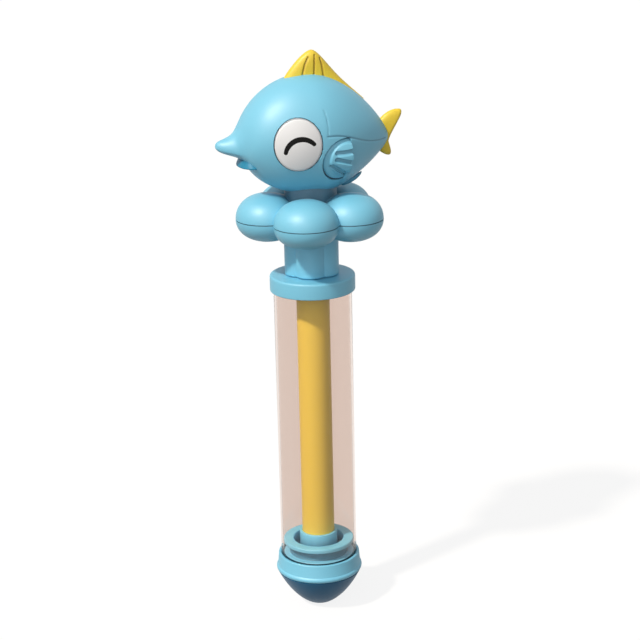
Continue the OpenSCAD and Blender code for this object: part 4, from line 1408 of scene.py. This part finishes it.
@dataclass
class Studio:
    """The camera of the photograph, a key light, a wide front light, a dim white world and a pale floor."""

    azimuth: float = -12.0
    elevation: float = 17.213
    roll: float = -1.317
    distance: float = 905.3
    aim_right: float = 3.355
    aim_height: float = 157.35
    focal_px: float = 1763.9
    picture_px: float = 640.0
    sensor_mm: float = 36.0
    clip_m: tuple[float, float] = (0.01, 50.0)
    key_azimuth: float = -60.0
    key_elevation: float = 49.0
    key_spread: float = 4.0
    key_level: float = 0.92
    key_tint: Colour = (1.0, 0.92, 0.82)
    front_azimuth: float = -28.0
    front_elevation: float = 22.0
    front_spread: float = 60.0
    front_level: float = 0.28
    front_tint: Colour = (1.0, 1.0, 1.0)
    world_fill: float = 0.3
    floor_reach_m: float = 12.0
    floor_tone: float = 0.15
    floor_roughness: float = 0.9
    floor_glow: float = 0.86

    def build(self) -> None:
        """Make the camera, the lamps, the floor and the world."""
        self._camera()
        self._lamp("key_light", self.key_azimuth, self.key_elevation, self.key_spread, self.key_level,
                   self.key_tint)
        self._lamp("front_light", self.front_azimuth, self.front_elevation, self.front_spread, self.front_level,
                   self.front_tint)
        self._floor()
        self._world()
        bpy.context.scene.view_settings.view_transform = "Standard"

    @staticmethod
    def _towards(azimuth: float, elevation: float) -> Array:
        """Direction from the part to a camera or lamp: azimuth 0 is -Y, and elevation counts up from level."""
        a, e = np.radians([azimuth, elevation])
        return np.array([np.sin(a) * np.cos(e), -np.cos(a) * np.cos(e), np.sin(e)])

    def _camera(self) -> None:
        """Put the camera at the photograph's angle, with its small roll."""
        a, r = np.radians([self.azimuth, self.roll])
        back = self._towards(self.azimuth, self.elevation)
        level = np.array([np.cos(a), np.sin(a), 0.0])
        steep = np.cross(back, level)
        right, up = np.cos(r) * level + np.sin(r) * steep, np.cos(r) * steep - np.sin(r) * level
        place = self.aim_right * level + (0, 0, self.aim_height) + self.distance * back
        lens = bpy.data.cameras.new("camera")
        lens.sensor_width = self.sensor_mm
        lens.lens = self.focal_px * self.sensor_mm / self.picture_px
        lens.clip_start, lens.clip_end = self.clip_m
        camera = bpy.data.objects.new("camera", lens)
        turned = np.eye(4)
        turned[:3, :3] = np.stack([right, up, back], -1)
        turned[:3, 3] = place * MM
        camera.matrix_world = Matrix(turned.tolist())
        bpy.context.scene.collection.objects.link(camera)
        bpy.context.scene.camera = camera

    def _lamp(self, name: str, azimuth: float, elevation: float, spread: float, level: float, tint: Colour) -> None:
        """Add a far lamp.

        Args:
            name: Name of the lamp.
            azimuth: Its direction round the part.
            elevation: Its height over level.
            spread: How wide it looks from the part, in degrees, which softens its shadows.
            level: How bright it makes a white face turned to it.
            tint: Colour of its light.
        """
        light = bpy.data.lights.new(name, "SUN")
        light.angle = math.radians(spread)
        light.energy = math.pi * level
        light.color = tint
        lamp = bpy.data.objects.new(name, light)
        back = Vector(self._towards(azimuth, elevation))
        lamp.matrix_world = Matrix.Translation(back) @ (-back).to_track_quat("-Z", "Y").to_matrix().to_4x4()
        bpy.context.scene.collection.objects.link(lamp)

    def _floor(self) -> None:
        """Lay a wide pale floor under the nozzle: white to the camera, with a faint shadow."""
        mesh = bpy.data.meshes.new("floor")
        far = self.floor_reach_m
        mesh.from_pydata([(-far, -far, 0), (far, -far, 0), (far, far, 0), (-far, far, 0)], [], [(0, 1, 2, 3)])
        floor = bpy.data.objects.new("floor", mesh)
        bpy.context.scene.collection.objects.link(floor)
        made = bpy.data.materials.new("pale_floor")
        made.use_nodes = True
        tree = made.node_tree
        shader = tree.nodes["Principled BSDF"]
        shader.inputs["Base Color"].default_value = (self.floor_tone, self.floor_tone, self.floor_tone, 1)
        shader.inputs["Roughness"].default_value = self.floor_roughness
        shader.inputs["Specular IOR Level"].default_value = 0.0
        shader.inputs["Emission Color"].default_value = (1, 1, 1, 1)
        tree.links.new(self._seen(tree, self.floor_glow, 0.0), shader.inputs["Emission Strength"])
        mesh.materials.append(made)

    def _world(self) -> None:
        """A white world: full strength where it is seen or mirrored, dimmer where it lights the part."""
        world = bpy.data.worlds.new("white_world")
        bpy.context.scene.world = world
        world.use_nodes = True
        tree = world.node_tree
        sky = tree.nodes["Background"]
        sky.inputs["Color"].default_value = (1, 1, 1, 1)
        tree.links.new(self._seen(tree, 1.0, self.world_fill), sky.inputs["Strength"])

    @staticmethod
    def _seen(tree: bpy.types.NodeTree, straight: float, otherwise: float) -> bpy.types.NodeSocket:
        """A value that is one number for camera, mirror and clear rays, and another for the rest.

        Args:
            tree: The node tree to add to.
            straight: The value where the surface is seen.
            otherwise: The value where it only gives light.

        Returns:
            The socket with the value.
        """
        path = tree.nodes.new("ShaderNodeLightPath")
        any_ray = path.outputs["Is Camera Ray"]
        for name in ("Is Glossy Ray", "Is Transmission Ray"):
            either = tree.nodes.new("ShaderNodeMath")
            either.operation = "MAXIMUM"
            tree.links.new(any_ray, either.inputs[0])
            tree.links.new(path.outputs[name], either.inputs[1])
            any_ray = either.outputs["Value"]
        scale = tree.nodes.new("ShaderNodeMapRange")
        scale.inputs["To Min"].default_value = otherwise
        scale.inputs["To Max"].default_value = straight
        tree.links.new(any_ray, scale.inputs["Value"])
        return scale.outputs["Result"]


def main() -> None:
    """Build the studio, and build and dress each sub-assembly."""
    logging.basicConfig(level=logging.INFO, format="%(name)s %(message)s")
    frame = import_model()
    Studio().build()
    for assembly in (Barrel(), RodAndPiston(), SplashGrip(), Fish()):
        assembly.dress(assembly.build(), frame["nodes"])


if __name__ == "__main__":
    main()
